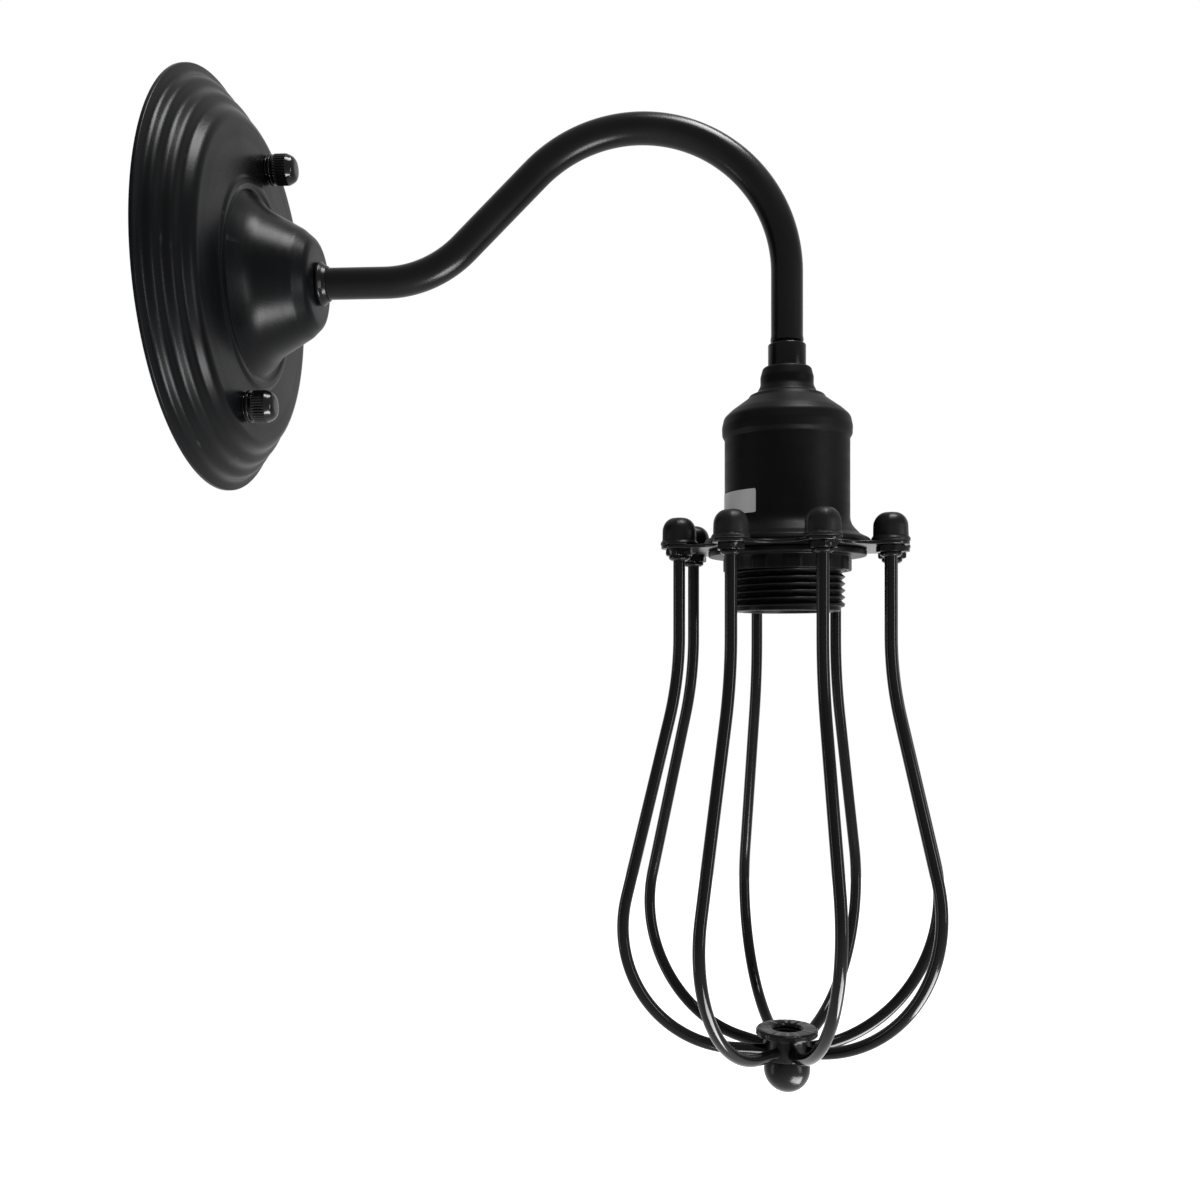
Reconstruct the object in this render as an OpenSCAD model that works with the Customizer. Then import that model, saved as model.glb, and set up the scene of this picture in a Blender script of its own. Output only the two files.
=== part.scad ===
// Wall light with a swan-neck arm, a screw-shell lampholder and an open wire cage.
// Millimetres, +Z up. The wall is the plane Y = 0 and the light reaches out along -Y.
// The origin is on the wall, level with the arm, in the middle of the wall strap.

/* [Wall plate] */
// Outer diameter of the canopy
canopy_d = 142; // [138:1:148]
// Distance from the wall to the canopy's flat face
canopy_face_depth = 14; // [13:0.5:15]
// Distance from the wall to the nose of the canopy's dome
canopy_nose_depth = 36; // [35:0.5:38]
// Thickness of the canopy's spun sheet
canopy_sheet = 0.9; // [0.7:0.1:1.1]
// Distance from the centre to each fixing stud
stud_circle_r = 46; // [45:0.5:47]
// Lean of the line through the two studs, from upright
stud_lean = 14; // [0:1:20]
// Diameter of the circle through the two wall-screw holes
wall_hole_pcd = 60; // [52:1:62]
// Radius of a wall-screw hole
wall_hole_r = 2.25; // [1.8:0.05:2.6]
// Diameter of a thumb nut
thumb_nut_d = 10.9; // [10:0.1:11.5]

/* [Arm] */
// Outer diameter of the arm's tube
arm_tube_d = 10.8; // [10.5:0.1:11.4]
// Inner diameter of the arm's tube
arm_bore_d = 7.8; // [7.6:0.1:8.2]
// Diameter of the thread on both ends of the tube
arm_thread_d = 10; // [9.8:0.1:10]
// Distance from the wall to the arm's first bend
arm_run = 59.5; // [56:0.5:62]
// Radius of the bend that turns the arm upward
rise_bend_r = 39; // [36:0.5:42]
// Angle of the arm's climb
rise_angle = 45; // [45:1:45]
// Length of the straight climb
rise_length = 35.2; // [34:0.1:40]
// Radius of the arch over the lampholder
arch_r = 50.3; // [48:0.1:52]
// Length of the straight drop to the lampholder
drop_length = 24.4; // [20:0.1:28]

/* [Lampholder] */
// Diameter of the holder cover's straight wall
cover_d = 42.2; // [41.8:0.1:44]
// Diameter of the cover's flared lip
cover_lip_d = 56.4; // [54:0.2:58]
// Thickness of the cover's sheet
cover_sheet = 0.8; // [0.6:0.1:0.9]
// Crest diameter of the sleeve's outer thread
sleeve_thread_d = 39.5; // [39.3:0.1:39.6]
// Bore diameter of the lamp's screw shell
shell_bore_d = 26.6; // [26.5:0.05:26.8]

/* [Cage] */
// Number of wires round the cage
wire_count = 8; // [8:1:8]
// Diameter of a cage wire
wire_d = 4; // [3.6:0.1:4.2]
// Radius of the circle that the wires hang from
wire_circle_r = 37.4; // [37:0.1:38]
// Turn of the cage on the lampholder, away from the arm's plane
cage_turn = -10; // [-22:1:22]
// Outward lean of the wires above the belly
wire_lean = 13.8; // [12:0.1:15]
// Radius of the bend that starts the lean
wire_shoulder_r = 118; // [110:1:130]
// Radius of the belly's bend, before each wire's own difference
wire_belly_r = 46; // [45:0.5:46.5]
// Diameter of the ball at the bottom
ball_d = 15.7; // [14:0.1:17]

/* [Hidden] */
$fn = 96;
// A hair of overlap that lets a cut pass cleanly through a face
eps = 0.05;
// Slack between a threaded hole and the thread in it
thread_slack = 0.05;

// Wall strap: a flat bar with both ends joggled forward
strap_width = 18;
strap_sheet = 1.5;
strap_flat_r = 35;
strap_joggle = 4;
strap_half = stud_circle_r + 7;
strap_cable_hole_r = 6;
ear_start = 5;
ear_height = 14;
tag_sheet = 0.8;
tag_reach = 7;
tag_crimp = 5.2;

// Fixing studs, their nuts and washers
stud_r = 2;
stud_head_r = 3.4;
stud_head_h = 2.3;
stud_length = canopy_face_depth + 8;
stud_nut_across = 7;
stud_nut_h = 3.2;
washer_h = 0.8;
thumb_nut_h = 9.4;
thumb_nut_gap = 0.3;

// Thread ends of the arm: behind the canopy's nose and inside the lampholder
tail_start = 22;
tube_start = canopy_nose_depth + 0.7;
arm_straight = arm_run - tube_start;
nose_plane = canopy_nose_depth - canopy_sheet;
arm_nut_across = 14;
arm_nut_h = 3.2;
cover_nut_across = 12.4;
lock_washer_h = 0.8;

// Connector block on the ear, its ways and its screws
lead_r = 1.1;
lead_up = 1.35;
lead_turn_r = 8;
block_x = 17;
block_pitch = 8;
block_z = block_pitch / 2;
block_ways = [-block_pitch, 0, block_pitch];
block_screws = [3.5, 11.5];
block_long = 15;
block_tall = 25;
block_deep = 8.5;
ear_reach = block_x + block_long + 1;
lead_depth = strap_sheet + 4.2;
wall_splay = 30;
socket_splay = 60;
splay_r = 6;
block_entry = 5;
terminal_entry = 2.4;
earth_screw_z = block_z + block_pitch;
earth_screw_r = earth_screw_z / cos(stud_lean);
earth_screw_x = earth_screw_z * tan(stud_lean);

// Where the arm takes the lampholder
reach = arm_run + rise_bend_r * sin(rise_angle) + rise_length * cos(rise_angle)
    + arch_r * sin(rise_angle) + arch_r;
arch_centre_z = rise_bend_r * (1 - cos(rise_angle)) + rise_length * sin(rise_angle)
    - arch_r * cos(rise_angle);
tube_end_z = arch_centre_z - drop_length;
collar_top_z = tube_end_z - 0.2;
collar_h = 7.8;
collar_r = 6.4;
cover_top_z = collar_top_z - collar_h;
tail_end_z = cover_top_z - 15;

// Lampholder, measured down from the cover's top
cover_lip_z = cover_top_z - 60.9;
plate_top_z = cover_lip_z - 0.1;
plate_sheet = 1.2;
plate_low_z = plate_top_z - plate_sheet;
sleeve_low_z = cover_top_z - 83;
sleeve_wall_r = 14.4;
sleeve_skirt_r = 18.8;
base_top_z = cover_top_z - 40;
base_low_z = base_top_z - 9.7;
base_boss_z = base_low_z - 4.3;
shell_low_z = sleeve_low_z + 3.5;
shell_step_z = shell_low_z + 21.5;
shell_top_z = base_boss_z - 0.1;
shell_wall = 0.45;
shell_neck_r = 12.2;
shell_mouth_r = 11;
cap_low_z = base_top_z + 2;
cap_top_z = cover_top_z - 11.5;
base_r = 16.5;
boss_r = 13.9;
cover_nut_h = 4;
terminal_r = 10;
terminal_screw_x = 3.3;
terminal_mouth = 5.2;

// Shade ring and its running fit on the sleeve
ring_top_z = plate_low_z - 0.1;
ring_h = 7;
ring_flange_h = 2;
ring_flange_r = 26.9;
ring_collar_r = 21.6;
ring_slack = 0.08;
ring_lugs = 12;

// Centre contact: a foot on the boss and a leaf that springs toward the lamp
leaf_width = 5;
leaf_sheet = 0.4;
leaf_root_x = 4.6;
leaf_length = 7.6;
leaf_slope = 17;

// Cage: heights below the middle of the cage plate
plate_mid_z = plate_top_z - plate_sheet / 2;
wire_r = wire_d / 2;
shoulder_start = 29.5;
wire_tail_slope = 6;
// Each wire is bent by hand: what its belly's radius differs by
hand_bend = [2, -3, -4, -4, 4.5, 4.5, 4.5, 4];
hub_top_z = plate_mid_z - 162.6;
hub_r = 10.5;
hub_neck_r = 8.2;
hub_flange_h = 2.2;
hub_h = 10;
hub_bore_r = 4.6;
wire_end_r = 6;
wire_end_z = hub_top_z - 7.3;
ball_z = hub_top_z - 13.7;
cap_skirt_r = 6.2;
cap_nut_r = 5.65;
cap_nut_h = 9.3;
lock_nut_across = 8;
lock_nut_h = 3.6;
lobe_r = 6;
lobe_valley_r = 31.5;
// The hollows cut this far into the lobes, so that their arcs cross cleanly
lobe_lap = 0.08;
plate_bore_r = 20.3;

// ---------- Outline helpers ----------

function unit(v) = v / norm(v);

// The short way round from one heading to another
function swing(a) = a > 180 ? a - 360 : a < -180 ? a + 360 : a;

// Points of an arc of radius r that rounds the corner b between a and c
function corner(a, b, c, r, steps) =
    let (
        u = unit(a - b),
        v = unit(c - b),
        half = acos(u * v) / 2,
        centre = b + unit(u + v) * r / sin(half),
        first = b + u * r / tan(half) - centre,
        last = b + v * r / tan(half) - centre,
        start = atan2(first[1], first[0]),
        sweep = swing(atan2(last[1], last[0]) - start)
    )
    [for (i = [0:steps]) let (t = start + sweep * i / steps) centre + r * [cos(t), sin(t)]];

function place(p) = [p[0], p[1]];

// An outline whose points are [x, y] for a sharp corner or [x, y, radius] for a round one
function rounded(points, steps = 5) = [
    for (i = [0:len(points) - 1])
        each len(points[i]) < 3
            ? [place(points[i])]
            : corner(place(points[i - 1]), place(points[i]), place(points[i + 1]),
                points[i][2], steps)
];

function heading(path, i) =
    unit(path[min(i + 1, len(path) - 1)] - path[max(i - 1, 0)]);

// A closed strip of the given thickness on the left of a smooth path
function strip(path, thickness) = concat(path, [
    for (i = [len(path) - 1:-1:0])
        let (d = heading(path, i)) path[i] + thickness * [-d[1], d[0]]
]);

// ---------- Placing helpers ----------

// Turns local +Z to point out from the wall
module out_from_wall(depth = 0) {
    translate([0, -depth, 0]) rotate([90, 0, 0]) children();
}

// Both stud places, on the leaning line, seen from the front
module at_studs() {
    for (side = [-1, 1])
        rotate([0, stud_lean, 0]) translate([0, 0, side * stud_circle_r]) children();
}

// The axis that the lampholder and the cage share
module at_holder() {
    translate([0, -reach, 0]) children();
}

// A ring of copies round the lampholder's axis, one for each wire
module round_cage(first = 1, last = wire_count) {
    at_holder()
        for (i = [first:last])
            rotate([0, 0, cage_turn + (i - 0.5) * 360 / wire_count]) children();
}

module hex_prism(across, h) {
    cylinder(r = across / 2 / cos(30), h = h, $fn = 6);
}

module pipe(outer, inner, h) {
    difference() {
        cylinder(r = outer, h = h);
        translate([0, 0, -eps]) cylinder(r = inner, h = h + 2 * eps);
    }
}

// ---------- The arm's route ----------

// Runs of a route lap over their bends, and a bend is a hair thinner, so they join cleanly
run_lap = 0.1;
bend_shrink = 0.02;

// A straight run and a bend, drawn from the origin along local +Z; a bend turns to +Y.
// The section is round, of radius r, and pushed by [side, up] from the route.
module straight(length, r, side = 0, up = 0) {
    translate([side, up, -run_lap]) cylinder(r = r, h = length + 2 * run_lap);
}

module bend(radius, angle, r, side = 0, up = 0) {
    translate([0, radius, 0])
        rotate([90, 0, 90])
            mirror([1, 0, 0])
                rotate_extrude(angle = angle)
                    translate([radius - up, side]) circle(r = r - bend_shrink);
}

// Moves children to the far end of a straight run or of a bend
module after_straight(length) {
    translate([0, 0, length]) children();
}

module after_bend(radius, angle) {
    translate([0, radius, 0]) rotate([-angle, 0, 0]) translate([0, -radius, 0]) children();
}

// Two opposite bends that step a run sideways, to local +Y
function splay_middle(offset, radius, angle) =
    (offset - 2 * radius * (1 - cos(angle))) / sin(angle);

function splay_run(offset, radius, angle) =
    2 * radius * sin(angle) + splay_middle(offset, radius, angle) * cos(angle);

module splay(offset, radius, angle, r) {
    middle = splay_middle(offset, radius, angle);
    bend(radius, angle, r);
    after_bend(radius, angle) {
        straight(middle, r);
        after_straight(middle) mirror([0, 1, 0]) bend(radius, angle, r);
    }
}

// The whole route of the arm with a round section of radius r.
// head and tail are the lengths before the first bend and after the last one.
module arm_route(r, head, tail, side = 0, up = 0) {
    out_from_wall(arm_run - head) {
        straight(head, r, side, up);
        after_straight(head) {
            bend(rise_bend_r, rise_angle, r, side, up);
            after_bend(rise_bend_r, rise_angle) {
                straight(rise_length, r, side, up);
                after_straight(rise_length) mirror([0, 1, 0]) {
                    bend(arch_r, 90 + rise_angle, r, side, -up);
                    after_bend(arch_r, 90 + rise_angle) straight(tail, r, side, -up);
                }
            }
        }
    }
}

// ---------- Wall side ----------

module wall_bracket() {
    top = strap_joggle + strap_sheet;
    side = concat(
        [[strap_flat_r, 0], [strap_flat_r + 4, strap_joggle], [strap_half, strap_joggle]],
        [[strap_half, top], [strap_flat_r + 3, top], [strap_flat_r - 1, strap_sheet]]);
    color("silver") difference() {
        union() {
            rotate([0, stud_lean, 0]) translate([-strap_width / 2, 0, 0]) rotate([90, 0, 90])
                linear_extrude(strap_width) union() {
                    translate([-strap_sheet, -strap_flat_r])
                        square([strap_sheet, 2 * strap_flat_r]);
                    for (end = [0, 1])
                        mirror([0, end]) polygon([for (p = side) [-p[1], p[0]]]);
                }
            translate([ear_start, -strap_sheet, block_z - ear_height / 2])
                cube([ear_reach - ear_start, strap_sheet, ear_height]);
        }
        at_studs() strap_hole(stud_r + thread_slack);
        for (end = [-1, 1])
            rotate([0, stud_lean, 0]) translate([0, 0, end * wall_hole_pcd / 2])
                strap_hole(wall_hole_r);
        strap_hole(strap_cable_hole_r);
        at_earth_screw() strap_hole(stud_r + thread_slack);
    }
}

// A cut long enough to pass through the strap and its joggled ends
module strap_hole(r) {
    out_from_wall(-1) cylinder(r = r, h = 9);
}

module fixing_studs() {
    color("gold") at_studs() {
        out_from_wall(strap_joggle - stud_head_h) cylinder(r = stud_head_r, h = stud_head_h);
        out_from_wall(strap_joggle - 0.1) cylinder(r = stud_r, h = stud_length - strap_joggle);
    }
}

module stud_nuts() {
    color("silver") at_studs() out_from_wall(strap_joggle + strap_sheet) difference() {
        hex_prism(stud_nut_across, stud_nut_h);
        translate([0, 0, -eps]) cylinder(r = stud_r + thread_slack, h = stud_nut_h + 2 * eps);
    }
}

module thumb_washers() {
    color("black") at_studs() out_from_wall(canopy_face_depth)
        pipe(4.9, stud_r + 0.3, washer_h);
}

// Rim lip, three rounded steps, flat face, raised bead, bell and nose
function canopy_outline() =
    let (r = canopy_d / 2, face = canopy_face_depth, nose = canopy_nose_depth)
    rounded([
        [r, 0], [r, 1.2, 0.5], [r - 3.3, 1.9, 2.4], [r - 4.6, 5, 2.6], [r - 8, 6, 2.6],
        [r - 9.4, 9.2, 2.6], [r - 12.8, 10.2, 2.8], [r - 15.5, face, 4],
        [36.4, face, 1.6], [35.2, face + 0.7, 1.4], [33.4, face + 0.7, 1.2],
        [31.6, face + 0.1, 1], [25.6, face + 5.2, 16], [18.6, nose - 4.2, 7],
        [14.8, nose, 4], [arm_thread_d / 2 + 0.1, nose]
    ], 6);

module canopy() {
    color("dimgray") difference() {
        out_from_wall() rotate_extrude() polygon(strip(canopy_outline(), canopy_sheet));
        at_studs() out_from_wall(canopy_face_depth - 3) cylinder(r = stud_r + 0.3, h = 6);
    }
}

module at_earth_screw() {
    rotate([0, stud_lean, 0]) translate([0, 0, earth_screw_r]) children();
}

// The screw with the ring tag that the earth lead is crimped to
module earth_screw() {
    color("gold") {
        at_earth_screw() {
            out_from_wall(0.2) cylinder(r = stud_r, h = 4);
            out_from_wall(strap_sheet + tag_sheet) cylinder(r = 3.8, h = 2.2);
        }
        difference() {
            union() {
                at_earth_screw() out_from_wall(strap_sheet) cylinder(r = 4.2, h = tag_sheet);
                translate([earth_screw_x, -strap_sheet - tag_sheet, earth_screw_z - 1.5])
                    cube([tag_reach, tag_sheet, 3]);
            }
            at_earth_screw() out_from_wall() cylinder(r = stud_r - 0.1, h = 5);
        }
    }
}

module at_block_ways() {
    for (z = block_ways) translate([0, 0, block_z + z]) children();
}

// A three-way connector block on the strap's ear; leads enter from the side
module terminal_block() {
    color("ivory") difference() {
        translate([block_x, -strap_sheet - block_deep, block_z - block_tall / 2])
            cube([block_long, block_deep, block_tall]);
        at_block_ways() {
            translate([block_x - 1, -lead_depth, 0]) rotate([0, 90, 0])
                cylinder(r = 1.7, h = block_long + 2);
            for (x = block_screws)
                translate([block_x + x, 0, 0]) out_from_wall(lead_depth) cylinder(r = 1.9, h = 6);
        }
    }
}

module terminal_screws() {
    color("gold") at_block_ways() for (x = block_screws)
        translate([block_x + x, 0, 0]) out_from_wall(lead_depth + lead_r + 0.1) difference() {
            cylinder(r = 1.6, h = 2.4);
            translate([-2, -0.3, 1.6]) cube([4, 0.6, 1]);
        }
}

// A hexagon nut for the thread on the arm's ends
module threaded_nut(across, h) {
    difference() {
        hex_prism(across, h);
        translate([0, 0, -eps]) cylinder(r = arm_thread_d / 2 + thread_slack, h = h + 2 * eps);
    }
}

module arm_nut() {
    color("silver") out_from_wall(nose_plane - lock_washer_h - arm_nut_h)
        threaded_nut(arm_nut_across, arm_nut_h);
}

module lock_washer() {
    color("silver") out_from_wall(nose_plane - lock_washer_h) difference() {
        cylinder(r = 8.5, h = lock_washer_h);
        translate([0, 0, -eps])
            cylinder(r = arm_thread_d / 2 + 0.1, h = lock_washer_h + 2 * eps);
        for (a = [0:30:330])
            rotate([0, 0, a + 8]) translate([7.4, -0.5, -eps]) cube([2, 1, 1]);
    }
}

// The rolled bead where the arm meets the nose
module arm_collar() {
    color("black") out_from_wall(canopy_nose_depth) rotate_extrude() polygon(rounded([
        [arm_thread_d / 2 + 0.1, 0], [7.4, 0], [7.65, 1.2, 0.9], [6.2, 2.6, 0.8],
        [5.9, 3.6], [arm_tube_d / 2 + 0.06, 3.6], [arm_tube_d / 2 + 0.06, 0.56],
        [arm_thread_d / 2 + 0.1, 0.56]
    ], 5));
}

// ---------- Arm and leads ----------

module arm_tube() {
    color("black") difference() {
        union() {
            arm_route(arm_tube_d / 2, arm_straight, drop_length - 1.2);
            out_from_wall(tail_start)
                cylinder(r = arm_thread_d / 2, h = tube_start - tail_start + eps);
            at_holder() {
                translate([0, 0, tube_end_z])
                    cylinder(r1 = arm_tube_d / 2 - 0.7, r2 = arm_tube_d / 2, h = 1.2);
                translate([0, 0, tail_end_z])
                    cylinder(r = arm_thread_d / 2, h = tube_end_z - tail_end_z);
            }
        }
        arm_route(arm_bore_d / 2, arm_run - tail_start + 1, arch_centre_z - tail_end_z + 1);
    }
}

// A lead leaves the block, turns outward through the arm and splays to its socket terminal.
// It runs above the arm's axis where up is positive and below it where up is negative.
module lead(up) {
    above = up > 0;
    wall_offset = block_pitch / 2 - abs(up);
    wall_run = block_x - lead_turn_r;
    wall_rest = wall_run - splay_run(wall_offset, splay_r, wall_splay);
    socket_offset = terminal_r - abs(up);
    splay_z = base_top_z + terminal_mouth + splay_run(socket_offset, splay_r, socket_splay);
    arm_route(lead_r, arm_run - lead_depth - lead_turn_r, arch_centre_z - splay_z, 0, up);
    translate([0, -lead_depth - lead_turn_r, up]) rotate([-90, 0, 0]) rotate([0, 0, -90]) {
        bend(lead_turn_r, 90, lead_r);
        after_bend(lead_turn_r, 90) rotate([0, 0, above ? -90 : 90]) {
            straight(wall_rest, lead_r);
            after_straight(wall_rest) {
                splay(wall_offset, splay_r, wall_splay, lead_r);
                translate([0, wall_offset, wall_run - wall_rest]) straight(block_entry, lead_r);
            }
        }
    }
    at_holder() translate([0, -up, splay_z]) rotate(above ? [180, 0, 0] : [0, 180, 0]) {
        splay(socket_offset, splay_r, socket_splay, lead_r);
        translate([0, socket_offset, splay_z - base_top_z - terminal_mouth])
            straight(terminal_entry, lead_r);
    }
}

module live_lead() {
    color("saddlebrown") lead(lead_up);
}

module neutral_lead() {
    color("royalblue") lead(-lead_up);
}

// From the block's upper way to the tag beside the earth screw
module earth_lead() {
    drop = lead_depth - strap_sheet - 0.85;
    run = block_x - earth_screw_x - tag_crimp - drop;
    color("yellowgreen") translate([block_x + block_entry, -lead_depth, earth_screw_z])
        rotate([0, -90, 0]) {
            straight(run + block_entry, lead_r);
            after_straight(run + block_entry) bend(drop, 90, lead_r);
        }
}

// ---------- Lampholder ----------

module coupling_collar() {
    color("black") at_holder() translate([0, 0, cover_top_z])
        pipe(collar_r, arm_thread_d / 2 + thread_slack, collar_h);
}

// Neck, flare, shoulder, bead, straight wall and lip, from the top down
function cover_outline() =
    let (r = cover_d / 2, top = cover_top_z)
    rounded([
        [arm_thread_d / 2 + 0.1, top], [8.1, top, 1.2], [9, top - 3.4, 2], [8.9, top - 6.2, 3],
        [10.4, top - 9, 1.4], [15.6, top - 12, 4], [21, top - 16.6, 3.5],
        [22.1, top - 20.4, 3], [21.9, top - 23.1, 1.6], [r, top - 24.6, 1.2],
        [r, cover_lip_z + 7.6, 6], [r + 3.5, cover_lip_z + 3.9, 3],
        [cover_lip_d / 2 - 0.6, cover_lip_z + 2.4, 1.5],
        [cover_lip_d / 2, cover_lip_z + 1.1, 0.6], [cover_lip_d / 2 + 0.1, cover_lip_z]
    ], 6);

module holder_cover() {
    color("black") at_holder() rotate_extrude()
        polygon(strip(cover_outline(), -cover_sheet));
}

module cover_nut() {
    color("silver") at_holder() translate([0, 0, cover_top_z - cover_sheet - cover_nut_h])
        threaded_nut(cover_nut_across, cover_nut_h);
}

// A blank foil label wrapped round the cover's straight wall
label_h = 7.8;
label_span = 62;
label_first = 85;
module rating_label() {
    color("lightgray") at_holder() translate([0, 0, cover_lip_z + 10]) rotate([0, 0, label_first])
        rotate_extrude(angle = label_span)
            translate([cover_d / 2, 0]) square([0.12, label_h]);
}

module socket_cap() {
    color("black") at_holder() rotate_extrude() polygon(rounded([
        [arm_thread_d / 2 + thread_slack, cap_top_z], [7.6, cap_top_z, 0.8],
        [7.6, cap_top_z - 6, 2], [18.8, cap_top_z - 8, 5], [18.8, cap_low_z],
        [17.2, cap_low_z], [17.2, cap_top_z - 9.6, 4],
        [arm_thread_d / 2 + thread_slack, cap_top_z - 8.6]
    ], 5));
}

// The insert that carries the contacts and terminals
module socket_base() {
    color("ivory") at_holder() difference() {
        union() {
            translate([0, 0, base_low_z]) cylinder(r = base_r, h = base_top_z - base_low_z);
            translate([0, 0, base_boss_z]) cylinder(r = boss_r, h = base_low_z - base_boss_z + eps);
        }
        for (side = [-1, 1])
            translate([0, side * terminal_r, base_top_z - 3]) cylinder(r = 1.5, h = 4);
    }
}

module socket_sleeve() {
    step_z = base_low_z - 0.2;
    crest = sleeve_thread_d / 2;
    color("black") at_holder() rotate_extrude() polygon([
        [sleeve_wall_r, sleeve_low_z], [crest - 0.4, sleeve_low_z], [crest, sleeve_low_z + 0.6],
        [crest, plate_top_z + 4], [sleeve_skirt_r, plate_top_z + 4.8],
        [sleeve_skirt_r, cap_low_z - 0.2], [base_r + 0.2, cap_low_z - 0.2],
        [base_r + 0.2, step_z], [sleeve_wall_r, step_z]
    ]);
}

// A drawn brass cup: the wide bore takes the lamp, the neck is held against the boss
module screw_shell() {
    bore = shell_bore_d / 2;
    color("goldenrod") at_holder() rotate_extrude() polygon([
        [bore, shell_low_z], [bore + shell_wall, shell_low_z],
        [bore + shell_wall, shell_step_z + shell_wall],
        [shell_neck_r + shell_wall, shell_step_z + shell_wall],
        [shell_neck_r + shell_wall, shell_top_z], [shell_mouth_r, shell_top_z],
        [shell_mouth_r, shell_top_z - shell_wall], [shell_neck_r, shell_top_z - shell_wall],
        [shell_neck_r, shell_step_z], [bore, shell_step_z]
    ]);
}

// Each terminal takes its lead from above, beside its clamping screw
module socket_terminals() {
    color("goldenrod") at_holder() for (side = [-1, 1])
        translate([0, side * terminal_r, base_top_z]) difference() {
            union() {
                translate([-2.2, -3, 0.1]) cube([7, 6, 5.4]);
                translate([0, 0, -2.8]) cylinder(r = 1.4, h = 3);
            }
            translate([0, 0, 2.6]) cylinder(r = lead_r + 0.1, h = 4);
            translate([terminal_screw_x, 0, 2.6]) cylinder(r = 1.15, h = 4);
        }
}

module socket_screws() {
    color("silver") at_holder() for (side = [-1, 1])
        translate([terminal_screw_x, side * terminal_r, base_top_z + 2.8]) difference() {
            union() {
                cylinder(r = 1.1, h = 3);
                translate([0, 0, 2.8]) cylinder(r = 1.7, h = 1.1);
            }
            translate([-3, -0.3, 3.4]) cube([6, 0.6, 1]);
        }
}

module contact_foot() {
    color("goldenrod") at_holder() translate([leaf_root_x + 0.5, 0, base_boss_z]) {
        translate([0, -leaf_width / 2, -leaf_sheet]) cube([4.6, leaf_width, leaf_sheet]);
        translate([2.4, 0, -leaf_sheet - 0.7]) cylinder(r = 1.2, h = 0.75);
    }
}

// ---------- Moving pieces ----------

module thumb_nut() {
    r = thumb_nut_d / 2;
    color("black") difference() {
        rotate_extrude() polygon(rounded([
            [0, 0], [r, 0], [r, 1.1], [r - 0.7, 1.4], [r - 0.7, 1.9], [r, 2.2],
            [r, 6.3, 1.2], [r - 1.4, thumb_nut_h, 2.6], [0, thumb_nut_h]
        ], 5));
        translate([0, 0, -eps]) cylinder(r = stud_r + thread_slack, h = 7.4);
    }
}

module at_thumb_nut(side) {
    rotate([0, stud_lean, 0]) translate([0, 0, side * stud_circle_r])
        out_from_wall(canopy_face_depth + washer_h + thumb_nut_gap) children();
}

module thumb_nut_upper() {
    at_thumb_nut(1) thumb_nut();
}

module thumb_nut_lower() {
    at_thumb_nut(-1) thumb_nut();
}

// The leaf slopes down from its root, with a button on the axis, so that a lamp can press it up
module centre_contact() {
    color("goldenrod") at_holder()
        translate([leaf_root_x, 0, base_boss_z - leaf_sheet]) rotate([0, 180 - leaf_slope, 0]) {
            translate([0.2, -leaf_width / 2, 0]) cube([leaf_length, leaf_width, leaf_sheet]);
            translate([leaf_root_x / cos(leaf_slope), 0, leaf_sheet - eps])
                cylinder(r = 1.6, h = 0.35);
        }
}

module shade_ring() {
    bore = sleeve_thread_d / 2 + ring_slack;
    color("black") at_holder() translate([0, 0, ring_top_z - ring_h]) {
        difference() {
            union() {
                translate([0, 0, ring_h - ring_flange_h])
                    cylinder(r = ring_flange_r, h = ring_flange_h);
                cylinder(r = ring_collar_r, h = ring_h);
                for (i = [0:ring_lugs - 1])
                    rotate([0, 0, i * 360 / ring_lugs])
                        translate([ring_collar_r - 0.6, -1.4, 0]) cube([1.7, 2.8, ring_h - 1]);
            }
            translate([0, 0, -eps]) cylinder(r = bore, h = ring_h + 2 * eps);
        }
    }
}

// ---------- Cage ----------

// A scalloped plate: a lobe at each wire, with hollows that run smoothly between
module cage_plate_outline() {
    half_step = 180 / wire_count;
    inner = lobe_valley_r;
    hollow_c = (wire_circle_r * wire_circle_r - (inner - lobe_r) * (inner - lobe_r))
        / (2 * (wire_circle_r * cos(half_step) - (inner - lobe_r)));
    hollow_r = hollow_c - inner;
    touch = [wire_circle_r, 0]
        + ([hollow_c * cos(half_step), hollow_c * sin(half_step)] - [wire_circle_r, 0])
        * lobe_r / (lobe_r + hollow_r);
    difference() {
        circle(r = norm(touch));
        for (i = [0:wire_count - 1])
            rotate(i * 2 * half_step) translate([hollow_c, 0]) circle(r = hollow_r + lobe_lap);
    }
    for (i = [0:wire_count - 1])
        rotate((i + 0.5) * 2 * half_step) translate([wire_circle_r, 0]) circle(r = lobe_r);
}

module cage_plate() {
    color("black") difference() {
        at_holder() translate([0, 0, plate_low_z]) rotate([0, 0, cage_turn])
            linear_extrude(plate_sheet) difference() {
                cage_plate_outline();
                circle(r = plate_bore_r);
            }
        round_cage() translate([wire_circle_r, 0, plate_low_z - 1])
            cylinder(r = wire_r + thread_slack, h = plate_sheet + 2);
    }
}

// Outward leaning route of a wire, in the local X-Z plane: straight down, a wide shoulder
// bend, a leaning run, the belly's bend and a short tail that slopes down into the hub
shoulder_x = wire_circle_r + wire_shoulder_r * (1 - cos(wire_lean));
shoulder_z = plate_mid_z - shoulder_start - wire_shoulder_r * sin(wire_lean);

function belly_r(i) = wire_belly_r + hand_bend[i - 1];

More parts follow.
